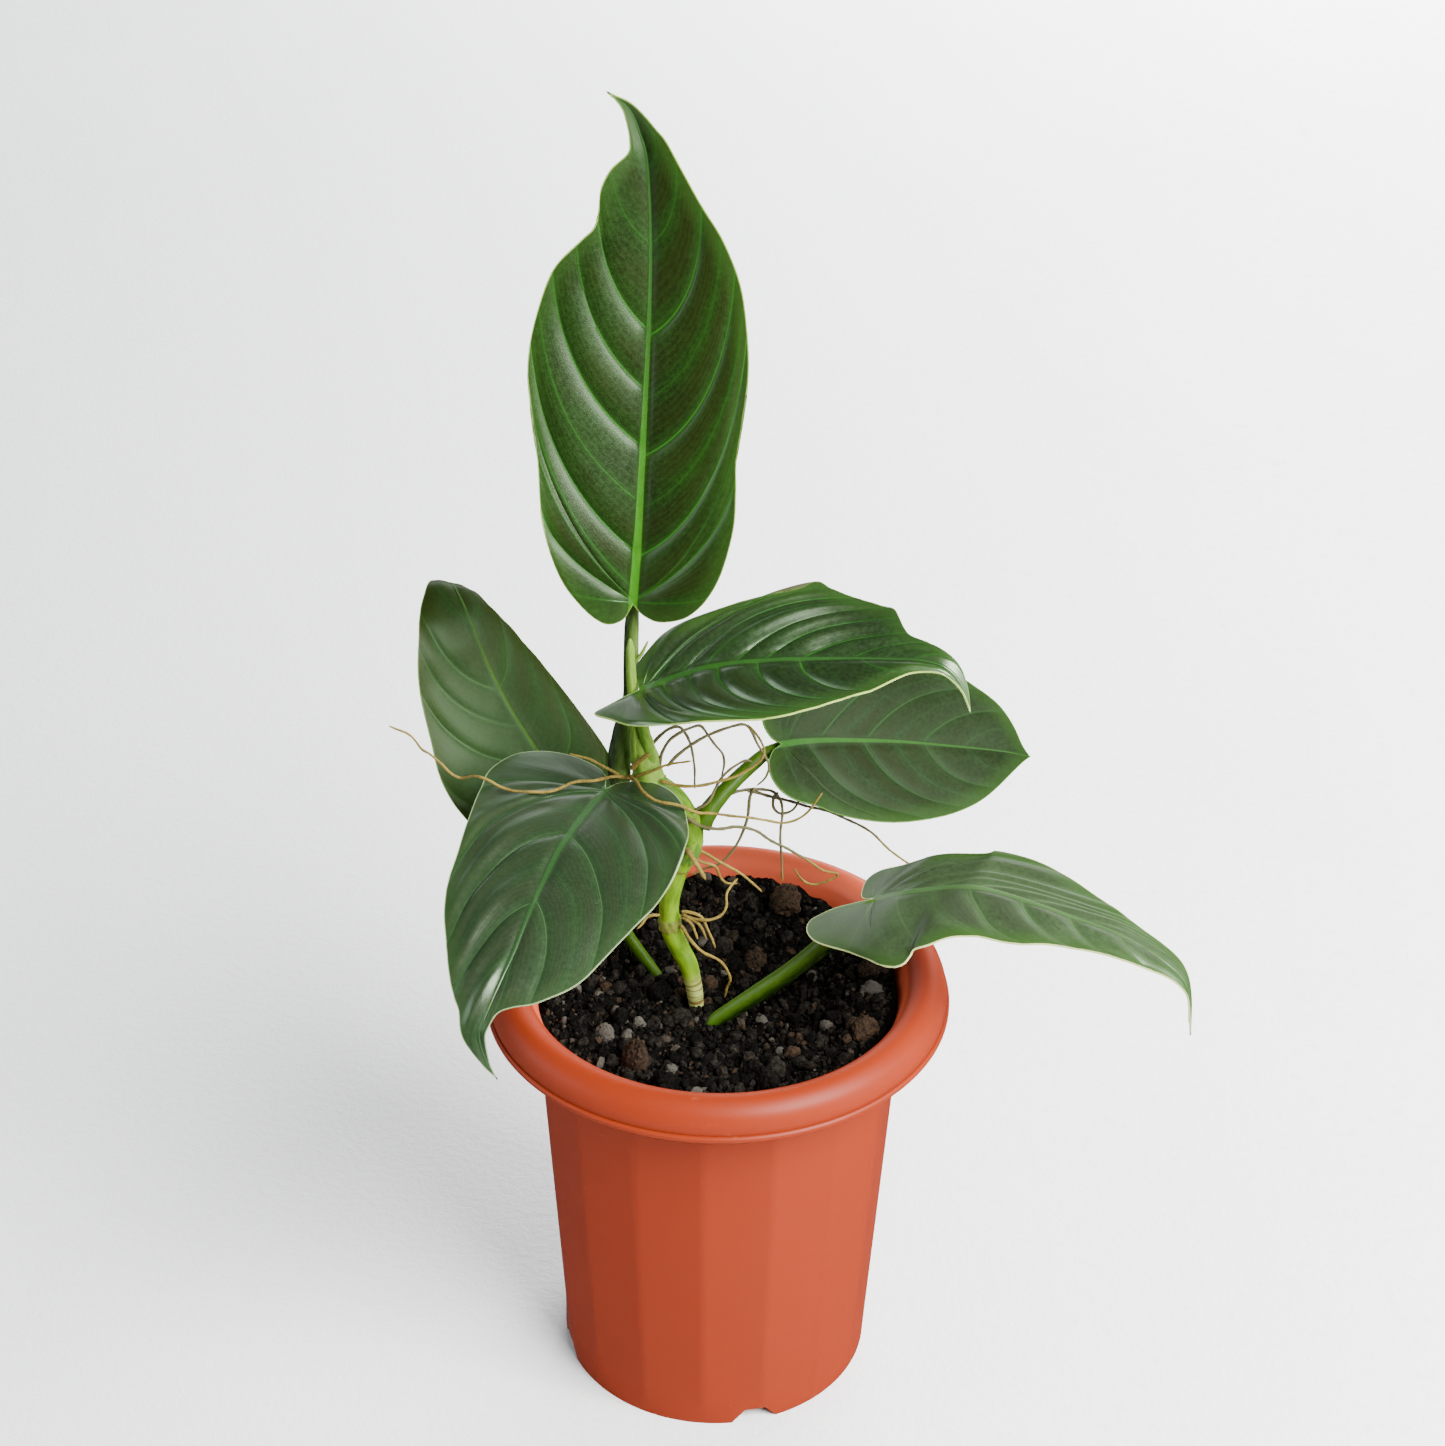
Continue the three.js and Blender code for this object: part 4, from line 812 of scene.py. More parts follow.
ROOT_CLUSTERS = (RootCluster(
    "roots_crown", collar=((-18.1, -1.5, 221.8), (-22.6, -2, 224.8), (-27.1, -2, 225)),
    collar_radius=3.9, collar_tone=-1.0, shaded=(6, 7, 8),
    routes=(
        ((-25.9, -4, 226.5), (-32.2, -7, 228.8), (-38.7, -12.5, 231.4), (-44.8, -18, 233.6),
            (-50.9, -20.5, 232.9), (-56.3, -21.2, 232.4), (-61.6, -22, 233.1), (-66, -21.5, 234.4),
            (-70.6, -19.5, 235.7), (-75.2, -17.5, 235.6), (-79.2, -15.5, 233.6), (-82.4, -14.8, 234.7),
            (-85.2, -14.2, 237.9), (-88.3, -13.5, 241.1), (-90.6, -14.2, 243.2), (-92.9, -14.9, 247),
            (-95.2, -15.6, 249.8), (-98.1, -16.3, 251.7), (-100.3, -17, 253.2)),
        ((-28.1, -6, 229.1), (-25.7, -12, 230.5), (-22.4, -18, 230.3), (-18.3, -20.5, 229),
            (-13.3, -21.5, 228.2), (-8.4, -19, 224.8), (-3.5, -12, 219.1), (2.4, -10.7, 217.3),
            (9.2, -9.3, 216.1), (14.3, -8, 214.1), (19.3, -8.4, 213.2), (22.9, -8.8, 214.4),
            (26.1, -9.2, 217.1), (28.7, -9.6, 220.9), (31.7, -10, 226)),
        ((-30.9, -5, 228.2), (-34.3, -5.5, 230.9), (-38.5, -6, 233.6), (-42.7, -6.3, 235.6),
            (-46.7, -6.5, 237.1)),
        ((-27.4, -6, 231.1), (-24.6, -7.9, 235.6), (-21.2, -9, 239.3)),
        ((-26.8, -5.5, 227.5), (-22.6, -7.2, 230.9), (-18.1, -8.2, 233.7), (-13.1, -8.5, 235.1),
            (-8.4, -8.5, 236.2)),
        ((-19.5, -4, 226), (-13.6, -6, 225.7), (-8.6, -8, 226.7), (-3.6, -6.7, 226.3), (1.4, -5.3, 226.9),
            (5.9, -4, 228), (10, -2.3, 229.7), (12.7, -0.7, 231.8), (13.4, 1, 234.1), (12.4, 2.7, 236.6),
            (10.6, 4.3, 238.7), (8.3, 6, 240.4)),
        ((-18.7, -2, 229.4), (-18.1, -0.7, 233.7), (-16, 0.7, 237.5), (-12.7, 2, 239.4), (-9.3, 5, 239.3),
            (-6.2, 8, 238.3), (-3.8, 10, 234), (-1.5, 12, 228.9), (0.7, 14, 224.2), (1.2, 14.5, 220.2),
            (0.4, 15, 214.3)),
        ((-16.4, -3, 230.1), (-14.1, -1.3, 232.5), (-11, 0.3, 234.7), (-6.9, 2, 236.5), (-2.4, 4, 238.1),
            (2.1, 6, 239.2), (6.9, 8, 239), (9.5, 8.7, 236.1), (11.6, 9.3, 231.4), (14.2, 10, 226),
            (15.3, 9.7, 222.2), (14, 9.3, 218.2), (11.3, 9, 215.3)),
        ((-21.6, 5, 232.5), (-19.3, 6.3, 235.1), (-16.4, 7.7, 237.1), (-13.1, 9, 237.2),
            (-10.6, 10.5, 233.6), (-9, 12, 228.3), (-8.3, 12, 221.1), (-7.9, 12, 211.9))),
), RootCluster(
    "roots_fork", collar=((-11.6, 1, 192.6), (-9.6, 1, 197.6), (-9.1, 1, 202.6)),
    collar_radius=4.05, collar_tone=-1.0, shaded=(0, 1, 2, 3, 6, 7),
    routes=(
        ((-8.6, -3, 212.9), (-7, -3.7, 215.2), (-3.8, -4.5, 218.2), (-1.6, -2.2, 221.3), (0.6, 0, 224),
            (4.1, 2.5, 226.8), (7.7, 5, 227.8), (10.2, 7, 225.6)),
        ((-10.4, -4, 212.4), (-6.3, -4.5, 209.5), (-0.8, -5, 208.8), (4.8, -0.5, 206.5), (10.4, 4, 201.9),
            (16.2, 9, 195.2), (21.9, 14, 188.1), (27.7, 18.5, 180.9), (33.7, 23, 173.9), (38.5, 27, 169.3),
            (35.8, 27, 166.7), (31.3, 27, 165), (27.1, 23.5, 169.1), (24.2, 20, 176.5)),
        ((-3.6, 4, 209.5), (-0.4, 6.5, 211.2), (3.3, 9, 212.3), (7.9, 10, 213.1), (13, 11, 213),
            (16.9, 11.5, 212), (19, 12, 208.7), (19.7, 12, 203.1), (19.6, 12, 196.3), (19.5, 12, 189.5),
            (20.1, 12, 182.6), (20.4, 12, 176.4)),
        ((11.1, 9, 215.1), (9.5, 9.3, 211.3), (8.8, 9.7, 204.5), (8, 10, 199.6), (6.2, 10, 193.9),
            (3.8, 10, 189.3), (0.1, 10, 184.9), (-5.3, 9.5, 182.7), (-8.9, 9, 180.9)),
        ((-9.1, 3, 193.1), (-5.3, 5, 188.6), (-1.4, 7, 185.6), (0.5, 7.8, 181.2), (2.8, 8.7, 178.3),
            (6.2, 9.5, 177.6)),
        ((-8.1, 3, 196.3), (-3.5, 5, 191.5), (1.7, 7, 186.8), (6.4, 7.8, 182.9), (10.7, 8.7, 178.4),
            (14, 9.5, 174.2)),
        ((18.4, 11, 212), (17, 12.3, 208.9), (17.2, 13.8, 204.6), (19.4, 14.9, 201.2), (22.6, 16, 201.1),
            (24.6, 16.6, 203.7), (25.3, 17, 206.1)),
        ((8.4, 9, 213.6), (13.1, 12.7, 210.2), (19.7, 16.3, 205.6), (27.3, 20, 200.9), (35.1, 26, 194.5),
            (41.1, 32, 187.7), (49.1, 31.3, 183.1), (56, 30.7, 176.1), (63.9, 30, 169.9)),
        ((-10.7, -3, 200.4), (-7.6, -6.1, 197), (-4, -8.5, 191.3))),
), RootCluster(
    "roots_lower", collar=((-15.5, 1, 165.4), (-15.5, 1, 168), (-15.6, 1, 170.5)),
    collar_radius=3.7, collar_tone=-0.55, shaded=(),
    routes=(
        ((-12.2, -2, 174.7), (-8.2, -3.3, 175), (-5.2, -4.2, 174), (-3.3, -4.9, 170), (-1.9, -5.5, 166.2),
            (-0.8, -6, 162.7)),
        ((-12.2, -1, 172.6), (-8, -3, 172.7), (-3.3, -5, 173.4), (0.6, -3.5, 174.1), (2.5, -2, 176.8),
            (2.7, 1, 179.6), (4.5, 4, 181.4), (6.1, 6.5, 181.7)),
        ((-11.9, -2, 172.4), (-9.1, -3.7, 171.6), (-7.5, -4.9, 168.7), (-6.4, -5.5, 165.7)),
        ((-12.2, -2, 169.7), (-9, -3.7, 165.1), (-5.1, -5.5, 161.6), (-0.2, -5.7, 158.3),
            (2.7, -5.8, 154.7), (4.2, -6, 150.7), (3, -5, 146.8), (2.2, -4, 141.7)),
        ((-18.3, -2, 173.1), (-22, -3.5, 173.8), (-24.3, -4.9, 171.6), (-26.1, -6, 170)),
        ((-11.7, -2, 173.8), (-6.8, -3.9, 171.5), (-4.6, -4.6, 168.1), (-3.8, -5, 165.6))),
))


# Curves and surfaces


def ease(share: Array) -> Array:
    """Bends shares from 0 to 1 so that they start and end gently."""
    return share * share * (3 - 2 * share)


def smooth_step(value: Array, low: float, high: float) -> Array:
    """Smooth step from 0 at low to 1 at high."""
    return ease(np.clip((value - low) / (high - low), 0, 1))


def bell(value: Array, middle: float, width: float) -> Array:
    """Bell curve that is 1 at its middle."""
    return np.exp(-((value - middle) / width) ** 2)


def stations(values: Sequence, share: Array) -> Array:
    """Values at shares of a length, with a smooth step from each station to the next.

    Args:
        values: Numbers or points at evenly spaced stations.
        share: Shares of the length, from 0 to 1.

    Returns:
        One value or point for each share.
    """
    table = np.array(values, float)
    last = len(table) - 1
    place = np.clip(share, 0, 1) * last
    index = np.minimum(place.astype(int), last - 1)
    weight = ease(place - index)
    if table.ndim > 1:
        weight = weight[..., None]
    return table[index] * (1 - weight) + table[index + 1] * weight


class Route:
    """Smooth line through points, measured along its length."""

    SAMPLES = 600
    REACH = 0.6

    def __init__(self, points: Sequence) -> None:
        """Draws and measures the line.

        Args:
            points: Points that it passes through.
        """
        knots = np.array(points, float)
        knots = np.vstack([2 * knots[0] - knots[1], knots, 2 * knots[-1] - knots[-2]])
        place = np.linspace(0, len(knots) - 3, self.SAMPLES)
        index = np.minimum(place.astype(int), len(knots) - 4)
        w = (place - index)[:, None]
        before, start, end, after = (knots[index + k] for k in range(4))
        leave, arrive = (end - before) / 2, (after - start) / 2
        self.knot_place = place
        self.points = ((2 * w**3 - 3 * w**2 + 1) * start + (w**3 - 2 * w**2 + w) * leave
                       + (3 * w**2 - 2 * w**3) * end + (w**3 - w**2) * arrive)
        steps = np.linalg.norm(np.diff(self.points, axis=0), axis=1)
        self.distance = np.concatenate([[0], np.cumsum(steps)])
        self.length = float(self.distance[-1])

    def at(self, distance: Array) -> Array:
        """Points at distances along the line."""
        return np.stack([np.interp(distance, self.distance, part) for part in self.points.T], -1)

    def evenly(self, count: int) -> Array:
        """Points that are evenly spaced along the line."""
        return self.at(np.linspace(0, self.length, count))

    def tangent(self, distance: Array) -> Array:
        """Directions of the line at distances along it.

        Args:
            distance: Distances along the line.

        Returns:
            One unit vector for each.
        """
        place = np.clip(distance, self.REACH, self.length - self.REACH)
        way = self.at(place + self.REACH) - self.at(place - self.REACH)
        return way / np.linalg.norm(way, axis=-1, keepdims=True)

    def knot(self, distance: Array) -> Array:
        """Shares of the knots passed at distances along the line."""
        return np.interp(distance, self.distance, self.knot_place) / self.knot_place[-1]


class BladeSurface:
    """Curved middle surface of a blade, in millimetres.

    Its rows leave the midrib and run out to the margin as the side veins do. BASE_REACH and
    BASE_RISE bend the rows near the stalk, and those of the half take over between SETTLING's
    two rows.
    """

    FAN = 0.02
    START = 1.25
    END_GUARD = 0.006
    BASE_REACH = 0.92
    BASE_RISE = 0.47
    SETTLING = (0.3, 0.6)
    CLEARANCE = 0.97
    BINS = 240

    def __init__(self, leaf: LeafShape) -> None:
        """Measures the midrib and the margins of a leaf.

        Args:
            leaf: The leaf.
        """
        self.leaf = leaf
        self.midrib = Route(leaf.midrib)
        self.length = self.midrib.length
        self.margins = {side: Route(leaf.half(side).outline) for side in Side}
        self.reaches = {side: self.widest(side) for side in Side}

    def widest(self, side: Side) -> tuple[Array, Array]:
        """Measures how far out the margin of a half lies along the midrib.

        Args:
            side: The half.

        Returns:
            Distances along the midrib, and how far out the margin lies at each.
        """
        line = self.margins[side].evenly(4000)
        low, high = line[:, 1].min(), line[:, 1].max()
        places = np.linspace(low, high, self.BINS)
        index = np.rint((line[:, 1] - low) / (high - low) * (self.BINS - 1)).astype(int)
        table = np.zeros(self.BINS)
        np.maximum.at(table, index, line[:, 0])
        filled = table > 0
        return places, np.interp(places, places[filled], table[filled])

    def rows(self, side: Side, row: Array, column: Array) -> tuple[Array, Array]:
        """Flat places on a half, on rows that run the way its side veins do.

        Args:
            side: The half.
            row: Rows, from 0 at the base to 1 at the tip.
            column: Places on the rows, from 0 at the midrib to 1 at the margin.

        Returns:
            Distances across and along the midrib, for each row and column.
        """
        half = self.leaf.half(side)
        past = np.maximum(0, 2 * row - 1)
        outer = half.lobe + (1 - half.lobe) * past ** (self.START / half.sweep)
        margin = self.margins[side]
        edge = margin.at(np.where(row <= 0.5, half.lobe * row / 0.5, outer) * margin.length)
        settled = smooth_step(row, *self.SETTLING)
        reach = self.BASE_REACH + (half.reach - self.BASE_REACH) * settled
        rise = self.BASE_RISE + (half.rise - self.BASE_RISE) * settled
        start = self.length * (self.FAN * row + (1 - self.FAN) * past ** self.START)
        turn_along = start + rise * (edge[:, 1] - start)
        limit = self.CLEARANCE * np.interp(turn_along, *self.reaches[side])
        turn_across = np.minimum(edge[:, 0] * reach, limit)
        t = column[None, :]
        across = 2 * t * (1 - t) * turn_across[:, None] + t**2 * edge[:, :1]
        along = ((1 - t)**2 * start[:, None] + 2 * t * (1 - t) * turn_along[:, None]
                 + t**2 * edge[:, 1:2])
        return across, along

    def frame(self, along: Array) -> tuple[Array, Array, Array]:
        """Finds where the midrib is and how it is turned.

        Args:
            along: Distances along the midrib.

        Returns:
            Centre, upward direction and rightward direction at each.
        """
        share = np.clip(along / self.length, 0, 1)
        guarded = np.clip(share, self.END_GUARD, 1 - self.END_GUARD) * self.length
        tangent = self.midrib.tangent(guarded)
        centre = self.midrib.at(share * self.length)
        centre = centre + tangent * (along - share * self.length)[..., None]
        facing = stations(self.leaf.facing, share)
        facing = facing - np.sum(facing * tangent, -1, keepdims=True) * tangent
        upward = facing / np.linalg.norm(facing, axis=-1, keepdims=True)
        return centre, upward, np.cross(tangent, upward)

    def point(self, side: Side, across: Array, along: Array, lift: Array) -> Array:
        """Points of the surface, each lifted along its own upright.

        Args:
            side: The half.
            across: Distances from the midrib.
            along: Distances along it.
            lift: Heights above the middle of the blade.

        Returns:
            Points in millimetres.
        """
        half, width = self.leaf.half(side), self.leaf.half_width
        centre, upward, rightward = self.frame(along)
        share = along / self.length
        fold, curl = (np.radians(stations(values, share)) for values in (half.fold, half.curl))
        turn = fold + curl * across / width
        radius = width / curl
        sideways = radius * (np.sin(turn) - np.sin(fold)) - np.sin(turn) * lift
        height = radius * (np.cos(fold) - np.cos(turn)) + np.cos(turn) * lift
        return (centre + rightward * (side.value * sideways)[..., None]
                + upward * height[..., None])


# Mesh work


def only(*pieces: Piece) -> None:
    """Selects these objects alone, or nothing, and makes the first one the active one."""
    bpy.ops.object.select_all(action="DESELECT")
    for piece in reversed(pieces):
        piece.select_set(True)
        bpy.context.view_layer.objects.active = piece


def edit_all(operator: Callable, **options: object) -> None:
    """Runs a mesh operator on all of the active piece.

    Args:
        operator: The operator.
        **options: Its options.
    """
    bpy.ops.object.mode_set(mode="EDIT")
    bpy.ops.mesh.select_all(action="SELECT")
    operator(**options)
    bpy.ops.object.mode_set(mode="OBJECT")


def get_points(mesh: bpy.types.Mesh) -> Array:
    """Reads the places of a mesh's vertices.

    Args:
        mesh: The mesh.

    Returns:
        One point for each vertex, in metres.
    """
    flat = np.empty(len(mesh.vertices) * 3)
    mesh.vertices.foreach_get("co", flat)
    return flat.reshape(-1, 3)


def set_points(mesh: bpy.types.Mesh, points: Array) -> None:
    """Moves the vertices of a mesh."""
    mesh.vertices.foreach_set("co", np.asarray(points, float).ravel())
    mesh.update()


def store(mesh: bpy.types.Mesh, name: str, values: Array) -> None:
    """Stores one number on each vertex of a mesh under a name."""
    layer = mesh.attributes.new(name, "FLOAT", "POINT")
    layer.data.foreach_set("value", np.asarray(values, np.float32).ravel())


def face_outwards(piece: Piece) -> None:
    """Turns the faces of a closed piece outwards."""
    only(piece)
    edit_all(bpy.ops.mesh.normals_make_consistent, inside=False)


def grid_piece(name: str, columns: int, rows: int, place: Rule,
               numbers: dict[str, Rule] | None = None, weld: float = 0.004) -> Piece:
    """Models a piece from a grid that is wrapped into shape.

    Args:
        name: Name of the piece.
        columns: Faces across the grid.
        rows: Faces along it.
        place: Gives points in millimetres for shares across and numbers of rows.
        numbers: Functions of the same whose values are stored on the vertices.
        weld: Distance in millimetres under which vertices are merged.

    Returns:
        The piece, with its vertices in place and welded.
    """
    only()
    bpy.ops.mesh.primitive_grid_add(x_subdivisions=columns, y_subdivisions=rows, size=1)
    piece = bpy.context.object
    piece.name = piece.data.name = name
    flat = get_points(piece.data)
    across = np.round((flat[:, 0] + 0.5) * columns) / columns
    row = np.rint((flat[:, 1] + 0.5) * rows).astype(int)
    set_points(piece.data, place(across, row) * MM)
    for label, rule in (numbers or {}).items():
        store(piece.data, label, rule(across, row))
    edit_all(bpy.ops.mesh.remove_doubles, threshold=weld * MM)
    return piece


def apply_modifier(piece: Piece, kind: str, **settings: object) -> None:
    """Adds a modifier to a piece and applies it.

    Args:
        piece: The piece.
        kind: Blender's name for the modifier.
        **settings: Properties to set on it.
    """
    only(piece)
    modifier = piece.modifiers.new(kind.lower(), kind)
    for key, value in settings.items():
        setattr(modifier, key, value)
    bpy.ops.object.modifier_apply(modifier=modifier.name)


def join(pieces: Sequence[Piece], name: str) -> Piece:
    """Joins pieces into one.

    Args:
        pieces: The pieces.
        name: Name of what they become.

    Returns:
        The joined piece.
    """
    only(*pieces)
    bpy.ops.object.join()
    pieces[0].name = pieces[0].data.name = name
    return pieces[0]


def dress(piece: Piece, *materials: Material) -> None:
    """Puts materials on a piece."""
    for material in materials:
        piece.data.materials.append(material)


def hand_over(piece: Piece, degrees: float, slot: Slot, *nodes: str) -> None:
    """Smooths a finished piece, ties it to the part's body and hides the solids that it stands for.

    Args:
        piece: The piece.
        degrees: Angle under which an edge is shaded smooth.
        slot: Its slot in the record; not used.
        *nodes: Names of the solids that it stands for.
    """
    only(piece)
    bpy.ops.object.shade_smooth_by_angle(angle=math.radians(degrees))
    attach(piece, BODY)
    if nodes:
        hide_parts(*nodes)
    LOG.info("%s: %d faces", piece.name, len(piece.data.polygons))


def steady_frames(tangents: Array) -> tuple[Array, Array]:
    """Sideways directions that turn as little as they can along a line.

    Args:
        tangents: Directions of the line.

    Returns:
        Two directions square to the line and to each other, at each place.
    """
    side = np.cross(tangents[0], (0.0, 0.0, 1.0))
    if np.linalg.norm(side) < 0.1:
        side = np.cross(tangents[0], (0.0, 1.0, 0.0))
    sides = []
    for tangent in tangents:
        side = side - np.dot(side, tangent) * tangent
        side = side / np.linalg.norm(side)
        sides.append(side)
    return np.array(sides), np.cross(tangents, sides)


@dataclass
class Limb:
    """A closed limb along a route, from a grid rolled round it."""

    name: str
    points: Sequence
    sides: int
    spacing: float

    MAP_UNIT = 100

    def __post_init__(self) -> None:
        """Draws the middle line."""
        self.route = Route(self.points)

    def thickness(self, radii: Sequence[float], distance: Array) -> Array:
        """Radius between those at the points, at distances along the limb."""
        return stations(radii, self.route.knot(distance))

    def ending(self, distance: Array, length: float, least: float) -> Array:
        """Share of the radius that is left towards a blunt end of a length."""
        return np.clip((self.route.length - distance) / length, least, 1) ** 0.5

    def build(self, radius: Rule, numbers: dict[str, Callable[[Array], Array]] | None = None,
              shift: Callable[[Array], Array] | None = None) -> Piece:
        """Models the limb.

        Args:
            radius: Radius at angles round it and distances along it.
            numbers: Functions of the distance whose values are stored on the vertices.
            shift: Sideways move of the middle line at distances along it.

        Returns:
            The limb, its ends drawn to a point.
        """
        rows = max(6, round(self.route.length / self.spacing))
        distance = np.linspace(0, self.route.length, rows + 1)
        centre = self.route.at(distance)
        if shift is not None:
            centre = centre + shift(distance)
        first, second = steady_frames(self.route.tangent(distance))

        def place(across: Array, row: Array) -> Array:
            """Points of the limb's skin.

            Args:
                across: Shares of the way round it.
                row: Rows along it.

            Returns:
                Points in millimetres.
            """
            angle = 2 * np.pi * across
            size = np.where((row == 0) | (row == rows), 0, radius(angle, distance[row]))
            return (centre[row] + first[row] * (np.cos(angle) * size)[:, None]
                    + second[row] * (np.sin(angle) * size)[:, None])

        laid = {label: (lambda across, row, rule=rule: rule(distance[row]))
                for label, rule in (numbers or {}).items()}
        piece = grid_piece(self.name, self.sides, rows, place, laid)
        layer = piece.data.uv_layers.active
        flat = np.empty(len(layer.data) * 2)
        layer.data.foreach_get("uv", flat)
        flat[1::2] *= self.route.length / self.MAP_UNIT
        layer.data.foreach_set("uv", flat)
        face_outwards(piece)
        return piece


# Pieces of the plant


@dataclass
class Blade:
    """A leaf blade with its side veins, quilting and fine folds modelled in."""

    leaf: LeafShape
    rows: int = 230
    columns: int = 36
    thickness: float = 0.55
    main_vein: float = 0.6
    groove: float = 1.7
    dome: float = 0.7
    plain_width: float = 34.0

    NUMBERS = ("vein_phase", "vein_gap", "vein_strength", "edge", "rib_share", "along", "pale")

    def __post_init__(self) -> None:
        """Lays out the blade's surface and takes its finish."""
        self.surface = BladeSurface(self.leaf)
        self.finish = LEAF_FINISHES[self.leaf.name]

    def rib_width(self, along: Array) -> Array:
        """Half the width of the midrib.

        Args:
            along: Distances along it.

        Returns:
            One width for each.
        """
        share = np.clip(along / self.surface.length, 0, 1)
        scale = self.finish.rib_scale * self.leaf.half_width / self.plain_width
        return scale * (1.38 * (1 - share) ** 1.5 + 0.20)

    def veining(self, half: Half, rest: Array, least: float, widest: float,
                ) -> tuple[Array, Array, Array]:
        """Finds how the rows of a half lie between its side veins.

        Args:
            half: The half.
            rest: Places of the half without relief, over rows and columns.
            least: Least strength of a vein that counts.
            widest: Widest gap between veins that is told from wider ones.

        Returns:
            Phase of each row, which is whole on a vein, strength of the vein that is nearest to
            it, and the gap between veins in millimetres over rows and columns.
        """
        veins = [vein for vein in half.veins if vein[1] >= least]
        knots = [0.0, *(place for place, _ in veins), 1.0]
        forces = np.array([0.0, *(force for _, force in veins), 0.0])
        row, column = (np.linspace(0, 1, count + 1) for count in (self.rows, self.columns))
        phase = np.interp(row, knots, range(len(knots)))
        down_row, out_row = np.gradient(rest, row, axis=0), np.gradient(rest, column, axis=1)
        out_size = np.linalg.norm(out_row, axis=-1) + 1e-6
        spacing = np.linalg.norm(np.cross(down_row, out_row), axis=-1) / out_size
        gap = np.clip(spacing / np.gradient(phase, row)[:, None], 0.4, widest)
        return phase[:, None], forces[np.rint(phase).astype(int)][:, None], gap

    def quilting(self, half: Half, rest: Array) -> Array:
        """Height of a half between its main veins, which lie in narrow grooves.

        Args:
            half: The half.
            rest: Places of the half without relief.

        Returns:
            Heights over rows and columns, for a groove one millimetre deep.
        """
        phase, force, gap = self.veining(half, rest, self.main_vein, 40)
        share = phase - np.floor(phase)
        distance = np.minimum(share, 1 - share) * gap
        groove = -force * np.exp(-distance / self.groove) * np.clip(gap / 6, 0, 1)
        dome = np.sin(np.pi * share) ** 0.8 * np.clip(gap / 14, 0, 1.3)
        return groove + self.dome * half.dome * dome

    def half_arrays(self, side: Side) -> dict[str, Array]:
        """Places and vein numbers of one half on its whole grid.

        Args:
            side: The half.

        Returns:
            Arrays over rows and columns: the points, and each number that the finish reads.
        """
        half, surface = self.leaf.half(side), self.surface
        row, column = (np.linspace(0, 1, count + 1) for count in (self.rows, self.columns))
        across, along = surface.rows(side, row, column)
        rest = surface.point(side, across, along, np.zeros_like(across))
        phase, force, gap = self.veining(half, rest, 0, 30)
        fade = 1 - 0.75 * smooth_step(column, 0.72, 1.0)
        folds = np.sin(2 * np.pi * phase) * np.clip(gap / 6, 0, 1) * smooth_step(column, 0.05, 0.4)
        relief = (half.puff * self.quilting(half, rest) + half.pleats * folds) * fade
        for place, height, width in half.ridges:
            swell = height * bell(row, place, width)[:, None]
            relief = relief + swell * smooth_step(column, 0.0, 0.45)
        rib, rib_width = np.abs(across), self.rib_width(along)
        crown = np.sqrt(np.clip(1 - (rib / rib_width) ** 2, 0, 1))
        relief = (relief * smooth_step(rib, 0.0, 4.0) - 0.3 * bell(rib, rib_width, 1.3)
                  + 0.5 * np.clip(rib_width, 0, 1.1) * crown)
        taper = smooth_step(along, -4, 6) * smooth_step(surface.length - along, 2, 16)
        point = surface.point(side, across, along, relief * (0.25 + 0.75 * taper))
        line = surface.margins[side].evenly(320)
        edge = np.array([np.hypot(x[:, None] - line[:, 0], y[:, None] - line[:, 1]).min(1)
                         for x, y in zip(across, along)])
        edge[:, -1] = 0
        numbers = (phase, gap, force * (1 - 0.6 * column**2), edge, rib / rib_width,
                   along / surface.length, half.pale)
        return {"point": point, **{name: np.broadcast_to(values, across.shape)
                                   for name, values in zip(self.NUMBERS, numbers)}}

    def build(self) -> None:
        """Models the blade: a grid on the curved surface, thickened and closed at its margin."""
        halves = {side: self.half_arrays(side) for side in Side}

        def look(across: Array, row: Array, name: str) -> Array:
            """Values of one array at places of the whole blade's grid.

            Args:
                across: Shares of the width, from the left margin to the right.
                row: Rows along it.
                name: Name of the array.

            Returns:
                One value or point for each place.
            """
            offset = np.rint((across - 0.5) * 2 * self.columns).astype(int)
            left = halves[Side.LEFT][name][row, np.clip(-offset, 0, None)]
            right = halves[Side.RIGHT][name][row, np.clip(offset, 0, None)]
            return np.where((offset < 0)[:, None] if left.ndim > 1 else offset < 0, left, right)

        label = self.leaf.name
        piece = grid_piece(f"{label}_lamina", 2 * self.columns, self.rows,
                           partial(look, name="point"),
                           {name: partial(look, name=name) for name in self.NUMBERS}, 0.01)
        dress(piece, self.finish.upper(), self.finish.lower(), self.finish.rim())
        apply_modifier(piece, "SOLIDIFY", thickness=self.thickness * MM, offset=0.0,
                       material_offset=1, material_offset_rim=2, use_even_offset=False)
        hand_over(piece, 50, Slot.LEAF, f"{label}_blade")


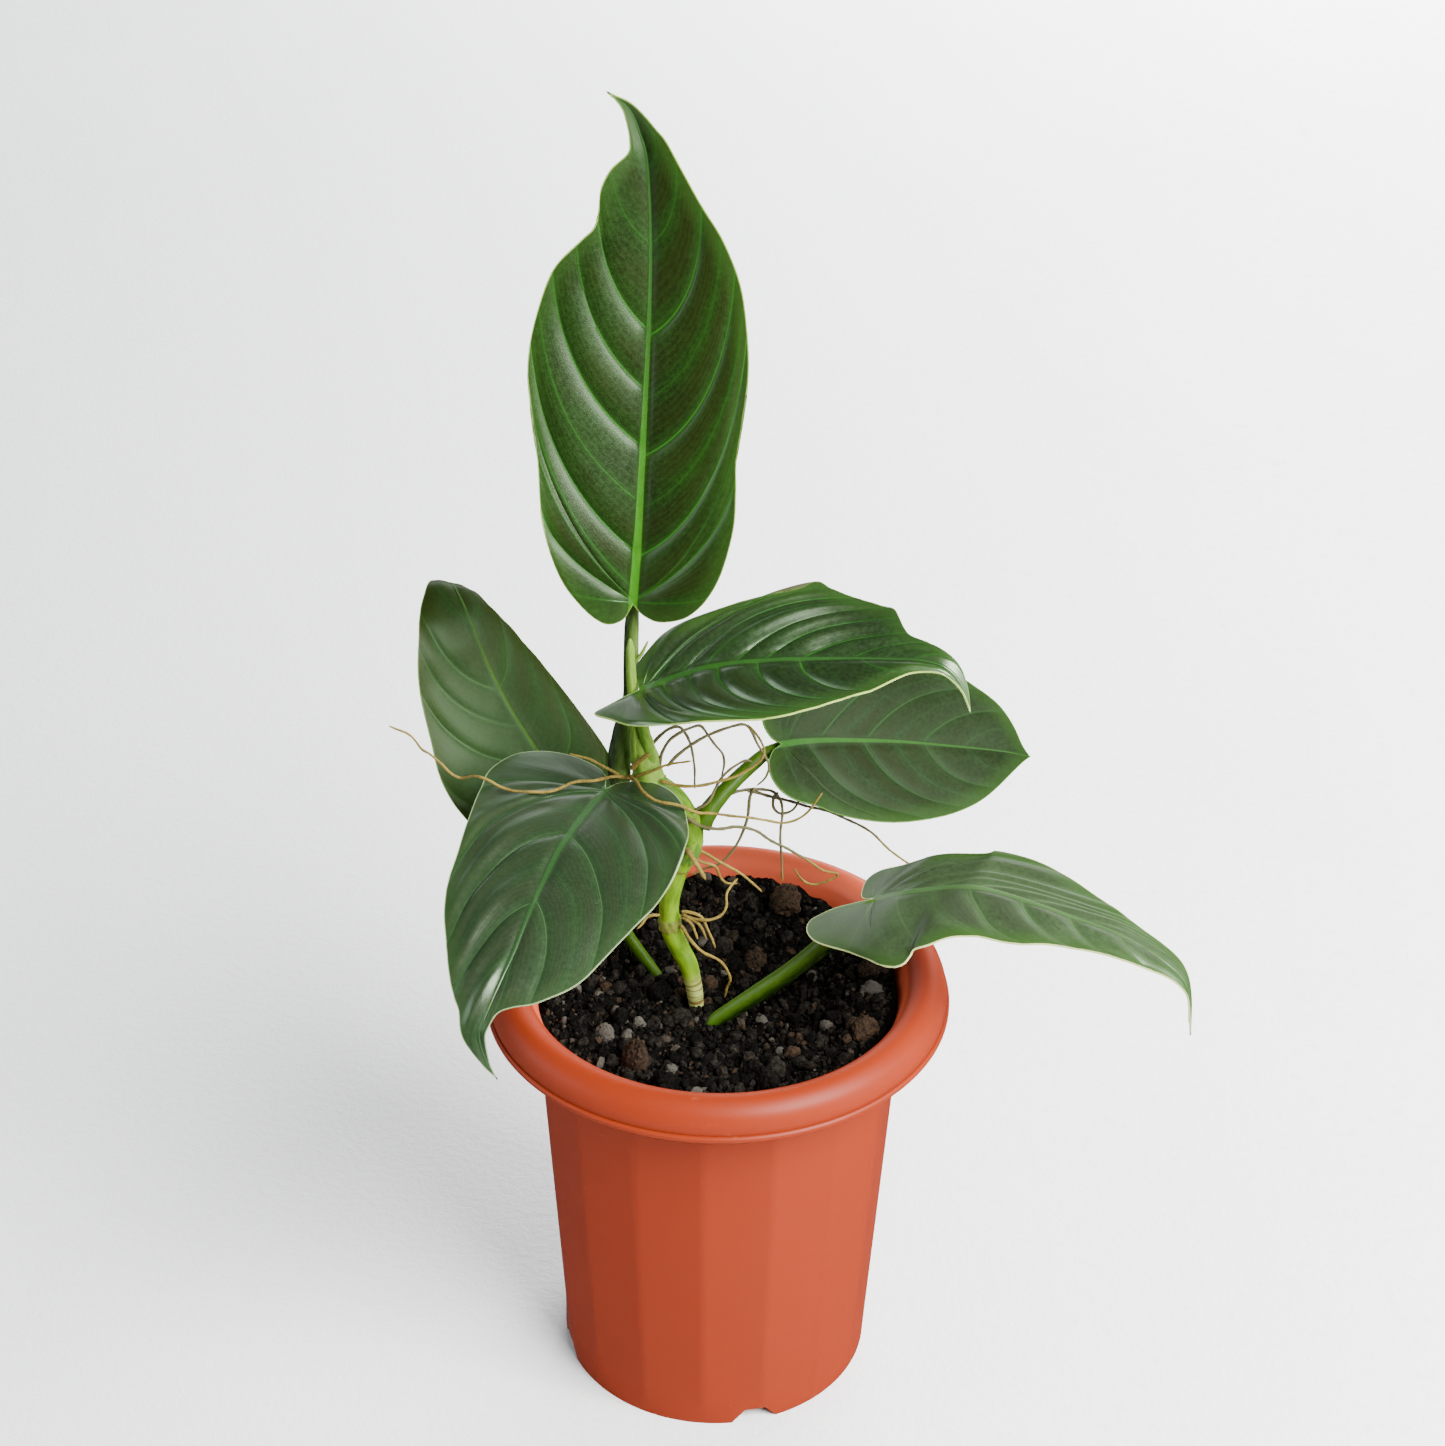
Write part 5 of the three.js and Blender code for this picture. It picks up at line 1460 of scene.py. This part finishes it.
@dataclass
class Stalk:
    """A leaf stalk that runs on under the blade as the raised rib of its underside."""

    leaf: LeafShape
    sides: int = 20
    spacing: float = 1.2
    rib_knots: int = 14

    def build(self) -> None:
        """Models the stalk and its rib as one tapering limb."""
        name, radii = self.leaf.name, self.leaf.petiole_radii
        share = np.linspace(0.03, 0.97, self.rib_knots)
        surface = BladeSurface(self.leaf)
        centre, upward, _ = surface.frame(share * surface.length)
        rib_radii = np.maximum(0.3, 0.55 * radii[-1] + 0.4) * (1 - share) ** 0.8 + 0.2
        rib = centre - upward * (0.3 + 0.55 * rib_radii)[:, None]
        limb = Limb(f"{name}_stalk", [*self.leaf.petiole[:-1], *rib], self.sides, self.spacing)
        random = np.random.default_rng(len(name) + int(self.leaf.half_width))
        bumps = random.uniform(0, 6, 4)

        def radius(angle: Array, distance: Array) -> Array:
            """Radius with slight waves along and round the stalk."""
            wave = (0.02 * np.sin(distance / 4.1 + bumps[0]) + 0.02 * np.cos(2 * angle + bumps[1])
                    + 0.015 * np.sin(3 * angle + distance / 9 + bumps[2]))
            return limb.thickness([*radii[:-1], *rib_radii], distance) * (1 + wave)

        piece = limb.build(radius)
        dress(piece, STALK_FINISHES.get(name, PLAIN_STALK).material())
        hand_over(piece, 60, Slot.PETIOLE, f"{name}_petiole")


@dataclass
class MainStem:
    """The jointed stem from the soil to the crown, thicker and ringed at its nodes."""

    points: tuple[Point, ...] = (
        (-5, -2.5, 112), (-5.8, -2.5, 129.7), (-6.7, -2, 136), (-7.8, -1.5, 145.1),
        (-9.6, -1, 153.1), (-11.9, 0, 157.6), (-14, 0.5, 162.3), (-15.4, 1, 167.1),
        (-15.7, 1, 176.5), (-13.2, 1, 188.4), (-9.4, 1, 198), (-9.1, 0.8, 205.2),
        (-11.2, 0, 211.9), (-13.9, -1, 217.5), (-18.1, -1.5, 221.8), (-23.1, -2, 224.7),
        (-27.8, -2, 225))
    radii: tuple[float, ...] = (
        1.8, 2, 2.4, 2.8, 3.05, 3.15, 3.2, 3.2, 3.15, 3.35, 3.9, 3.8, 3.5, 3.4, 3.4, 3.5, 3)
    nodes: tuple[Pair, ...] = ((58.0, 1.6), (80.0, 1.1), (101.0, 1.2), (119.0, 1.6))
    foot: float = 36.0
    sides: int = 28
    spacing: float = 0.9

    def node_share(self, distance: Array) -> Array:
        """How far a place belongs to a node's ring, at distances along the stem."""
        return np.clip(sum(bell(distance, *node) for node in self.nodes), 0, 1)

    def foot_share(self, distance: Array, blend: float) -> Array:
        """How far a place belongs to the foot, which ends over a blend and 4 mm more."""
        return 1 - smooth_step(distance, self.foot - blend, self.foot + 4)

    def build(self) -> None:
        """Models the stem as one limb."""
        limb = Limb("stem", self.points, self.sides, self.spacing)

        def radius(angle: Array, distance: Array) -> Array:
            """Radius with rings at the foot, swollen nodes and slight waves.

            Args:
                angle: Angles round the stem.
                distance: Distances along it.

            Returns:
                One radius for each.
            """
            rings = 0.035 * np.sin(distance * 2.4 + 0.5 * np.sin(angle))
            wave = 0.025 * np.sin(2 * angle + distance / 7) + 0.012 * np.sin(5 * angle)
            swell = rings * self.foot_share(distance, 6) + 0.07 * self.node_share(distance)
            return limb.thickness(self.radii, distance) * (1 + wave + swell)

        piece = limb.build(radius, {"node": lambda distance: 0.75 * self.node_share(distance),
                                    "foot": lambda distance: self.foot_share(distance, 3)})
        dress(piece, StemFinish().material())
        hand_over(piece, 60, Slot.STEM, "main_stem")


@dataclass
class YoungShoot:
    """A rolled young sheath beside the top leaf's stalk, with a wide collar and a thin tip."""

    sheath: tuple[Point, ...] = ((-25.4, -4, 231.8), (-26.0, -3.4, 240), (-26.6, -3.8, 250.6),
                                 (-27.2, -4.6, 263.7), (-27.5, -4.7, 277.6))
    sheath_radii: tuple[float, ...] = (2.2, 1.5, 1.45, 1.6, 1.25)
    collar: tuple[Point, ...] = ((-21.1, -0.5, 219.1), (-21.9, -1.5, 223.9), (-22.9, -2, 230.9),
                                 (-23.8, -2, 237.5), (-24.6, -1.5, 242.7), (-24.7, -1, 247.5))
    collar_radii: tuple[float, ...] = (4.2, 5.0, 4.4, 3.3, 2.5, 2.0)
    tip: tuple[Point, ...] = ((-27.2, -4.5, 268), (-24.2, -5, 272), (-22, -5, 277))
    tip_radii: tuple[float, ...] = (0.8, 0.6, 0.3)

    def build(self) -> None:
        """Models the sheath, its collar and its tip and joins them."""
        sheath = Limb("shoot_sheath", self.sheath, 24, 0.7)
        collar = Limb("shoot_collar", self.collar, 32, 0.7)
        tip = Limb("shoot_tip", self.tip, 10, 0.6)

        def rolled(angle: Array, distance: Array) -> Array:
            """Radius of the sheath, with its seam and its blunt hood."""
            seam = bell(np.mod(angle, 2 * np.pi), 4.4, 0.25)
            base = sheath.thickness(self.sheath_radii, distance)
            return base * (1 - 0.18 * seam) * sheath.ending(distance, 4, 0.05)

        def wide(angle: Array, distance: Array) -> Array:
            """Radius of the collar, a little flat and wavy."""
            wave = -0.1 * np.cos(2 * angle) + 0.03 * np.sin(5 * angle + distance / 3)
            return collar.thickness(self.collar_radii, distance) * (1 + wave)

        parts = [sheath.build(rolled), collar.build(wide),
                 tip.build(lambda angle, distance: tip.thickness(self.tip_radii, distance))]
        piece = join(parts, "shoot_sheath")
        dress(piece, SHOOT_FINISH.material())
        hand_over(piece, 60, Slot.PETIOLE, "young_shoot")


@dataclass
class AerialRoots:
    """One cluster of aerial roots with its ragged collar."""

    cluster: RootCluster
    seed: int
    thread_radius: float = 0.5
    stub: int = 4
    stub_scale: float = 1.7
    sides: int = 8
    spacing: float = 0.9

    def __post_init__(self) -> None:
        """Starts the random numbers."""
        self.random = np.random.default_rng(self.seed)

    def root(self, number: int, points: tuple[Point, ...]) -> Piece:
        """Models one root: a knobbly thread with small bends, thinner towards its tip.

        Args:
            number: Number of the root.
            points: Points along it.

        Returns:
            The root.
        """
        limb = Limb(f"{self.cluster.name}_{number}", points, self.sides, self.spacing)
        length = limb.route.length
        size = self.thread_radius * (self.stub_scale if len(points) < self.stub else 1.0)
        phases = self.random.uniform(0, 2 * np.pi, 6)
        rates = self.random.uniform(0.16, 0.42, 3)
        # Tone 1 marks a shaded root, which gets the olive that is partly painted shade.
        tone = float(number in self.cluster.shaded)

        def radius(angle: Array, distance: Array) -> Array:
            """Radius with knobs and a blunt tip.

            Args:
                angle: Angles round the root.
                distance: Distances along it.

            Returns:
                One radius for each.
            """
            knobs = (0.09 * np.sin(distance * rates[0] * 3.7 + phases[0])
                     + 0.04 * np.sin(distance * 2.3 + phases[1] + angle))
            end = limb.ending(distance, 1.6, 0.25)
            return size * (1.12 - 0.42 * distance / length) * (1 + knobs) * end

        def shift(distance: Array) -> Array:
            """Small bends that die out towards both ends."""
            amount = 0.22 * smooth_step(np.minimum(distance, length - distance), 0.5, 8.0)
            return np.stack([np.sin(distance * rate + phase) * amount
                             for rate, phase in zip(rates, phases[3:])], -1)

        return limb.build(radius, {"tone": lambda distance: tone + 0 * distance}, shift)

    def collar(self) -> Piece:
        """Models the ragged collar that the roots come out of.

        Returns:
            The collar.
        """
        limb = Limb(f"{self.cluster.name}_collar", self.cluster.collar, 40, 0.35)
        phases = self.random.uniform(0, 2 * np.pi, 4)

        def radius(angle: Array, distance: Array) -> Array:
            """Radius with ragged ridges."""
            ragged = 0.06 * np.sin(7 * angle + phases[0]) + 0.05 * np.sin(11 * angle + phases[1])
            swell = 0.86 + 0.14 * np.sin(np.pi * distance / limb.route.length) ** 0.5
            return self.cluster.collar_radius * swell * (1 + ragged * np.sin(distance + phases[2]))

        return limb.build(radius, {"tone": lambda at: self.cluster.collar_tone + 0 * at})

    def build(self, material: Material) -> None:
        """Models the whole cluster and joins it.

        Args:
            material: Finish of the roots.
        """
        pieces = [self.collar()]
        pieces += [self.root(*numbered) for numbered in enumerate(self.cluster.routes)]
        piece = join(pieces, f"{self.cluster.name}_threads")
        dress(piece, material)
        hand_over(piece, 60, Slot.ROOT, self.cluster.name)


@dataclass(frozen=True)
class Crumbs:
    """Loose crumbs of one kind, each made from a ball whose corners are pushed in and out."""

    name: str
    count: int
    smallest: float
    largest: float
    detail: int
    roughness: float


@dataclass
class Soil:
    """Potting mix: an uneven bed, crumbs of all sizes over it and some large clods."""

    side: tuple[Pair, ...] = ((0.0, 8.5), (47.6, 8.5), (57.6, 134.0))
    rings: int = 90
    sides: int = 300
    centre_height: float = 137.5
    edge_height: float = 139.5
    back_rise: float = 9.0
    right_rise: float = 5.2
    clods: tuple[tuple[float, float, float, float], ...] = (
        (22, 43, 6.4, 0.93), (-26, -34, 6.0, 0.9), (47, -21.5, 4.6, 0.94), (-19, 3.5, 5.2, 0.35),
        (16, -43, 4.4, 0.4), (50, -1, 3.4, 0.99), (-29, -19, 2.6, 0.98), (-14.5, -36, 2.6, 0.98),
        (35, -16, 2.0, 0.98), (-25, -12.5, 2.2, 0.98), (12, 22, 4.2, 0.9), (50.5, 9.5, 4.2, 0.9),
        (34, 38, 4.4, 0.2), (-17, -46, 4.2, 0.3), (-11.5, 3.7, 2.6, 0.92), (-11.5, -29, 3.0, 0.4),
        (-36, -19, 3.2, 0.98), (-36, 6.5, 3.2, 0.94))
    clod_kind: Crumbs = Crumbs("soil_clods", 18, 2.0, 6.4, 4, 0.09)
    loose: tuple[Crumbs, ...] = (Crumbs("soil_lumps", 90, 2.0, 3.6, 3, 0.12),
                                 Crumbs("soil_crumbs", 1500, 0.8, 2.2, 2, 0.16),
                                 Crumbs("soil_grains", 6500, 0.35, 1.1, 1, 0.18))
    seed: int = 7

    def height(self, x: Array, y: Array) -> Array:
        """Height of the bed's top.

        Args:
            x: Places across the pot.
            y: Places towards its back.

        Returns:
            One height for each place.
        """
        share = np.hypot(x, y) / self.side[-1][0]
        ripple = np.sin(0.31 * x + 0.7) * np.cos(0.27 * y) + np.sin(0.53 * x - 0.41 * y + 2)
        rough = (np.sin(1.9 * x + 0.8 * y) * np.sin(1.3 * y - 0.7 * x + 1)
                 + 0.6 * np.sin(3.1 * x - 1.1) * np.sin(2.7 * y + 0.4))
        back = smooth_step(y, 18, 56)
        rise = ((self.edge_height - self.centre_height) * share**2 + self.back_rise * back
                + self.right_rise * smooth_step(x, 22, 56) * (1 - back))
        return self.centre_height + rise + 0.8 * ripple + 0.45 * rough - 1.6

    def bed(self) -> None:
        """Models the bed as one turned body with an uneven top."""
        under = len(self.side)
        radii, heights = np.array(self.side).T
        radii = np.concatenate([radii, np.linspace(radii[-1], 0, self.rings + 1)])
        heights = np.concatenate([heights, np.zeros(self.rings + 1)])

        def place(across: Array, row: Array) -> Array:
            """Points of the bed's skin."""
            angle = 2 * np.pi * across
            x, y = radii[row] * np.cos(angle), radii[row] * np.sin(angle)
            return np.stack([x, y, np.where(row < under, heights[row], self.height(x, y))], -1)

        piece = grid_piece("soil_bed", self.sides, len(radii) - 1, place)
        face_outwards(piece)
        dress(piece, SoilFinish().material("soil_bed_mix", loose=False))
        hand_over(piece, 50, Slot.SOIL, "soil")

    def ball(self, detail: int) -> tuple[Array, list[tuple[int, ...]]]:
        """Models the plain ball that crumbs are made from.

        Args:
            detail: Its fineness.

        Returns:
            Its corners and its faces.
        """
        only()
        if detail == 2:
            bpy.ops.mesh.primitive_uv_sphere_add(segments=8, ring_count=6, radius=1)
        else:
            bpy.ops.mesh.primitive_ico_sphere_add(subdivisions=detail, radius=1)
        ball = bpy.context.object
        shape = get_points(ball.data), [tuple(face.vertices) for face in ball.data.polygons]
        bpy.data.objects.remove(ball)
        return shape

    def scatter(self, kind: Crumbs, places: Array, tones: Array,
                random: np.random.Generator) -> Piece:
        """Copies a ball to many places, each turned, stretched and roughened its own way.

        Args:
            kind: Kind of the crumbs.
            places: One x, y, z and radius for each crumb.
            tones: One colour tone for each crumb.
            random: Source of the random numbers.

        Returns:
            All the crumbs as one piece.
        """
        ball, faces = self.ball(kind.detail)
        corners, turned_faces = [], []
        for number, (*place, radius) in enumerate(places):
            turn = np.linalg.qr(random.normal(size=(3, 3)))[0]
            if np.linalg.det(turn) < 0:
                turn[:, 0] *= -1
            stretch = random.uniform(0.6, 1.25, 3)
            waves = sum(np.sin(ball @ random.normal(size=3) * rate + random.uniform(0, 6))
                        for rate in (1.6, 2.6, 4.2)) / 3
            fine = random.normal(size=len(ball))
            push = 1 + 2 * kind.roughness * waves + 0.6 * kind.roughness * fine
            shape = (ball * np.clip(push, 0.55, 1.35)[:, None] * stretch) @ turn
            corners.append(shape * radius + place)
            first = number * len(ball)
            turned_faces += [tuple(first + corner for corner in face) for face in faces]
        mesh = bpy.data.meshes.new(kind.name)
        mesh.from_pydata((np.vstack(corners) * MM).tolist(), [], turned_faces)
        store(mesh, "tone", np.repeat(tones, len(ball)))
        piece = bpy.data.objects.new(kind.name, mesh)
        bpy.context.scene.collection.objects.link(piece)
        face_outwards(piece)
        return piece

    def spread(self, kind: Crumbs, random: np.random.Generator) -> Array:
        """Finds places for loose crumbs, most of them small.

        Args:
            kind: Kind of the crumbs.
            random: Source of the random numbers.

        Returns:
            One x, y, z and radius for each crumb.
        """
        radius = (kind.smallest
                  + (kind.largest - kind.smallest) * random.random(kind.count) ** 2.4)
        reach = (self.side[-1][0] - 1.3 * radius - 0.4) * np.sqrt(random.random(kind.count))
        angle = random.uniform(0, 2 * np.pi, kind.count)
        x, y = reach * np.cos(angle), reach * np.sin(angle)
        z = self.height(x, y) + radius * random.uniform(-0.5, 0.7, kind.count) + 0.4
        return np.stack([x, y, z, radius], -1)

    def build(self) -> None:
        """Models the bed, the clods and the loose crumbs."""
        random = np.random.default_rng(self.seed)
        self.bed()
        x, y, radius, tones = np.array(self.clods).T
        places = np.stack([x, y, self.height(x, y) + 0.35 * radius, radius], -1)
        pieces = [self.scatter(self.clod_kind, places, tones, random)]
        for kind in self.loose:
            places = self.spread(kind, random)
            pieces.append(self.scatter(kind, places, random.random(kind.count), random))
        material = SoilFinish().material("soil_crumb_mix", loose=True)
        for piece in pieces:
            dress(piece, material)
            hand_over(piece, 40, Slot.SOIL)


@dataclass
class Pot:
    """A moulded plastic pot with flat panels down its wall and a hollow rolled rim."""

    foot_radius: float = 51.0
    top_radius: float = 60.0
    top_height: float = 139.0
    wall: float = 1.8
    pad_radius: float = 12.0
    floor: Pair = (6.0, 8.0)
    outer_heights: tuple[float, ...] = (0, 0.8, 3, 7, 11, 30, 55, 80, 105, 125, 131, 135, 138)
    inner_heights: tuple[float, ...] = (141, 137, 120, 90, 60, 30, 11)
    hollow: tuple[Pair, ...] = ((61.4, 143.6), (62.9, 147), (66.8, 149.4), (71, 146.6),
                                (72.9, 139.8))
    hollow_length: float = 22.4
    lip: tuple[Pair, ...] = ((73.2, 139.5), (74.4, 139.5), (74.9, 140.1), (74.9, 141.1),
                             (74.4, 141.7), (73.8, 141.8))
    roll: tuple[Pair, ...] = ((74.0, 142.3), (73.8, 145.3), (71.9, 149.0), (68.2, 151.5),
                              (64.4, 151.0), (61.7, 148.7), (60.4, 145.6))
    panels: int = 16
    steps: int = 14
    first_ridge: float = -4.0
    flatness: float = 0.8
    notches: int = 4
    first_notch: float = 15.5
    notch_widths: Pair = (7.0, 17.0)
    notch_height: float = 5.2
    drain_holes: int = 8
    drain_radius: float = 4.5
    drain_circle: float = 31.0

    def radius(self, height: float) -> float:
        """Outside radius of the wall at a height."""
        return self.foot_radius + (self.top_radius - self.foot_radius) * (height / self.top_height)

    def profile(self) -> Array:
        """Draws the pot's section, from the pad under its floor round to the floor's top.

        Returns:
            Radius and height of each of its points.
        """
        outer = [(self.radius(height), height) for height in self.outer_heights]
        inner = [(self.radius(height) - self.wall, height) for height in self.inner_heights]
        hollow = Route([outer[-1], *self.hollow]).at(np.linspace(0, self.hollow_length, 12))[1:]
        under, top = self.floor
        return np.array([
            (0, 0), (self.pad_radius - 0.4, 0), (self.pad_radius, 0.4), (self.pad_radius, under),
            (self.foot_radius - 1.7, under), (self.foot_radius - 1.9, 0), *outer, *hollow,
            *self.lip, *Route(self.roll).evenly(26), *inner,
            (self.radius(top) - self.wall - 2, top), (0, top)])

    def build(self) -> None:
        """Models the pot as one turned, closed shell and cuts its notches and drain holes."""
        profile = self.profile()
        seat = self.outer_heights[-1]
        half_panel = np.pi / self.panels

        def place(across: Array, row: Array) -> Array:
            """Points of the shell, flat between the ridges of its wall.

            Args:
                across: Shares of the way round it.
                row: Rows of its section.

            Returns:
                Points in millimetres.
            """
            radius, height = profile[row].T
            angle = 2 * np.pi * across
            flat = np.cos(half_panel) / np.cos(np.mod(angle, 2 * half_panel) - half_panel)
            on_wall = (np.abs(radius - self.radius(height)) < 0.01) & (height <= seat)
            fade = np.clip((height - 3) / 8, 0, 1) * np.clip((seat - height) / 7, 0, 1)
            radius = radius * np.where(on_wall, 1 + self.flatness * (flat - 1) * fade, 1)
            turn = angle + math.radians(self.first_ridge) - np.pi / 2
            return np.stack([radius * np.cos(turn), radius * np.sin(turn), height], -1)

        piece = grid_piece("pot_shell", self.panels * self.steps, len(profile) - 1, place)
        face_outwards(piece)
        cutters = [self.notch_cutter(number) for number in range(self.notches)]
        cutters += [self.drain_cutter(number) for number in range(self.drain_holes)]
        cutter = join(cutters, "pot_cutters")
        apply_modifier(piece, "BOOLEAN", operation="DIFFERENCE", object=cutter, solver="EXACT")
        bpy.data.objects.remove(cutter)
        piece.data.materials.clear()
        dress(piece, PotFinish().material())
        hand_over(piece, 24, Slot.POT, "pot")

    def notch_cutter(self, number: int) -> Piece:
        """Models the block that cuts one water notch, narrower at its top.

        Args:
            number: Number of the notch.

        Returns:
            The block.
        """
        only()
        bpy.ops.mesh.primitive_cube_add(size=1)
        cutter = bpy.context.object
        x, y, z = get_points(cutter.data).T
        top = z > 0
        points = np.stack([x * np.where(top, *self.notch_widths),
                           -(self.foot_radius - 4 + 10 * y),
                           np.where(top, self.notch_height, -1.0)], -1) * MM
        angle = math.radians(self.first_notch + 360 / self.notches * number)
        set_points(cutter.data, points @ np.array(Matrix.Rotation(angle, 3, "Z")).T)
        face_outwards(cutter)
        apply_modifier(cutter, "BEVEL", width=0.8 * MM, segments=2)
        return cutter

    def drain_cutter(self, number: int) -> Piece:
        """Models the rod that cuts one drain hole.

        Args:
            number: Number of the hole.

        Returns:
            The rod.
        """
        angle = 2 * math.pi * (number + 0.5) / self.drain_holes
        middle = Vector((self.drain_circle * math.cos(angle), self.drain_circle * math.sin(angle),
                         sum(self.floor) / 2))
        only()
        bpy.ops.mesh.primitive_cylinder_add(vertices=40, radius=self.drain_radius * MM,
                                            depth=8 * MM, location=middle * MM)
        bpy.ops.object.transform_apply(location=True, rotation=True, scale=True)
        return bpy.context.object


# Studio


@dataclass(frozen=True)
class SoftLight:
    """A soft rectangular light that faces the plant."""

    name: str
    azimuth: float
    elevation: float
    distance: float
    size: Pair
    radiance: float
    colour: Colour = (1, 1, 1)
    mirrored: bool = True

    CENTRE = 0.2

    def hang(self) -> None:
        """Makes the light and puts it in its place."""
        turn, rise = math.radians(self.azimuth), math.radians(self.elevation)
        away = Vector((math.sin(turn) * math.cos(rise), -math.cos(turn) * math.cos(rise),
                       math.sin(rise)))
        data = bpy.data.lights.new(self.name, "AREA")
        data.shape = "RECTANGLE"
        data.size, data.size_y = self.size
        data.energy = self.radiance * math.pi * self.size[0] * self.size[1]
        data.color = self.colour
        lamp = bpy.data.objects.new(self.name, data)
        bpy.context.scene.collection.objects.link(lamp)
        lamp.location = Vector((0, 0, self.CENTRE)) + self.distance * away
        lamp.rotation_euler = (-away).to_track_quat("-Z", "Y").to_euler()
        lamp.visible_glossy = self.mirrored


@dataclass(frozen=True)
class Studio:
    """A pale floor, soft light from the upper right and a long lens from the front."""

    lens: float = 85.0
    stand: Point = (0.6, -883.5, 809.6)
    look_down: float = 32.6
    roll: float = 0.6
    floor_size: float = 5.0
    # Painted light: floor colours from the darker left to the paler right.
    floor_shaded_left: Colour = (0.54, 0.55, 0.555)
    floor_lit_right: Colour = (0.97, 0.98, 0.985)
    floor_cloud: Colour = (0.70, 0.71, 0.72)
    floor_fleck: Colour = (0.66, 0.67, 0.69)
    surround: float = 0.16
    surround_colour: Colour = (0.90, 0.96, 1.0)
    backdrop: float = 3.2
    lights: tuple[SoftLight, ...] = (
        SoftLight("key_light", 47, 41, 2.2, (1.5, 1.3), 45.0, (1.0, 0.99, 0.97)),
        SoftLight("wall_light", 180, 11, 2.4, (3.6, 0.8), 2.2),
        SoftLight("left_light", -82, 16, 1.7, (1.4, 0.9), 5.4, (0.92, 0.97, 1.0)),
        SoftLight("right_light", 80, 20, 1.9, (1.5, 1.3), 5.8),
        SoftLight("far_floor_light", 160, 15, 2.2, (2.4, 0.9), 29.0, mirrored=False))

    def camera(self) -> None:
        """Sets the camera at the photograph's viewing angle."""
        down, roll = math.radians(self.look_down), math.radians(self.roll)
        ahead = Vector((0, math.cos(down), -math.sin(down)))
        right, up = Vector((1, 0, 0)), Vector((0, math.sin(down), math.cos(down)))
        tilted_right = math.cos(roll) * right + math.sin(roll) * up
        tilted_up = math.cos(roll) * up - math.sin(roll) * right
        data = bpy.data.cameras.new("studio_camera")
        data.lens = self.lens
        data.sensor_width = 36.0
        data.sensor_fit = "HORIZONTAL"
        data.clip_start, data.clip_end = 0.05, 20.0
        camera = bpy.data.objects.new("studio_camera", data)
        bpy.context.scene.collection.objects.link(camera)
        turned = Matrix((tilted_right, tilted_up, -ahead)).transposed().to_4x4()
        turned.translation = Vector(self.stand) * MM
        camera.matrix_world = turned
        bpy.context.scene.camera = camera

    def floor(self) -> None:
        """Lays the pale floor, with painted light: its colour is darker on the left and paler on the right,
        towards the lights.
        """
        only()
        bpy.ops.mesh.primitive_plane_add(size=self.floor_size, location=(0, 0, 0))
        plane = bpy.context.object
        plane.name = "studio_floor"
        plane.visible_glossy = False
        skin = Skin("studio_floor_paint")
        # Painted light: the floor's colour grows paler from left to right.
        colour = skin.mix(skin.step(skin.axes()[0], -0.5, 0.5), self.floor_shaded_left, self.floor_lit_right)
        cloud = skin.noise(skin.place((1.0, 0.5, 1.0)), 9.0, 5.0, 0.62)
        colour = skin.mix(skin.step(cloud, 0.35, 0.7, 0.0, 0.2), colour, self.floor_cloud)
        fleck = skin.noise(skin.place(), 150.0, 4.0, 0.6)
        colour = skin.mix(skin.step(fleck, 0.5, 0.75, 0.0, 0.3), colour, self.floor_fleck)
        grain = skin.noise(skin.place(), 320.0, 4.0, 0.7)
        dress(plane, skin.finish(colour, 0.95, skin.bump(grain, 0.35, 0.0012), 0.0))

    def world(self) -> None:
        """Surrounds the plant with dim light, and shows a pale backdrop beyond the floor."""
        world = bpy.data.worlds.new("studio_world")
        world.use_nodes = True
        nodes, built_in = Nodes(world.node_tree), world.node_tree.nodes
        dim = built_in["Background"]
        nodes.feed(dim.inputs["Color"], self.surround_colour)
        nodes.feed(dim.inputs["Strength"], self.surround)
        pale = nodes.add("Background", {"Strength": self.backdrop})
        seen = nodes.add("LightPath").outputs["Is Camera Ray"]
        mixer = nodes.add("MixShader", {0: seen, 1: dim.outputs[0], 2: pale.outputs[0]})
        nodes.feed(built_in["World Output"].inputs[0], mixer.outputs[0])
        bpy.context.scene.world = world

    def build(self) -> None:
        """Sets up the camera, the floor and the lights."""
        self.camera()
        self.floor()
        self.world()
        for light in self.lights:
            light.hang()


def main() -> None:
    """Builds the studio and every piece of the plant in order."""
    logging.basicConfig(level=logging.INFO, format="%(message)s")
    Studio().build()
    Pot().build()
    Soil().build()
    MainStem().build()
    YoungShoot().build()
    for leaf in LEAVES:
        Stalk(leaf).build()
        Blade(leaf).build()
    root_skin = RootFinish().material()
    for seed, cluster in enumerate(ROOT_CLUSTERS, start=21):
        AerialRoots(cluster, seed).build(root_skin)
    only()
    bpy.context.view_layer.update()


if __name__ == "__main__":
    main()
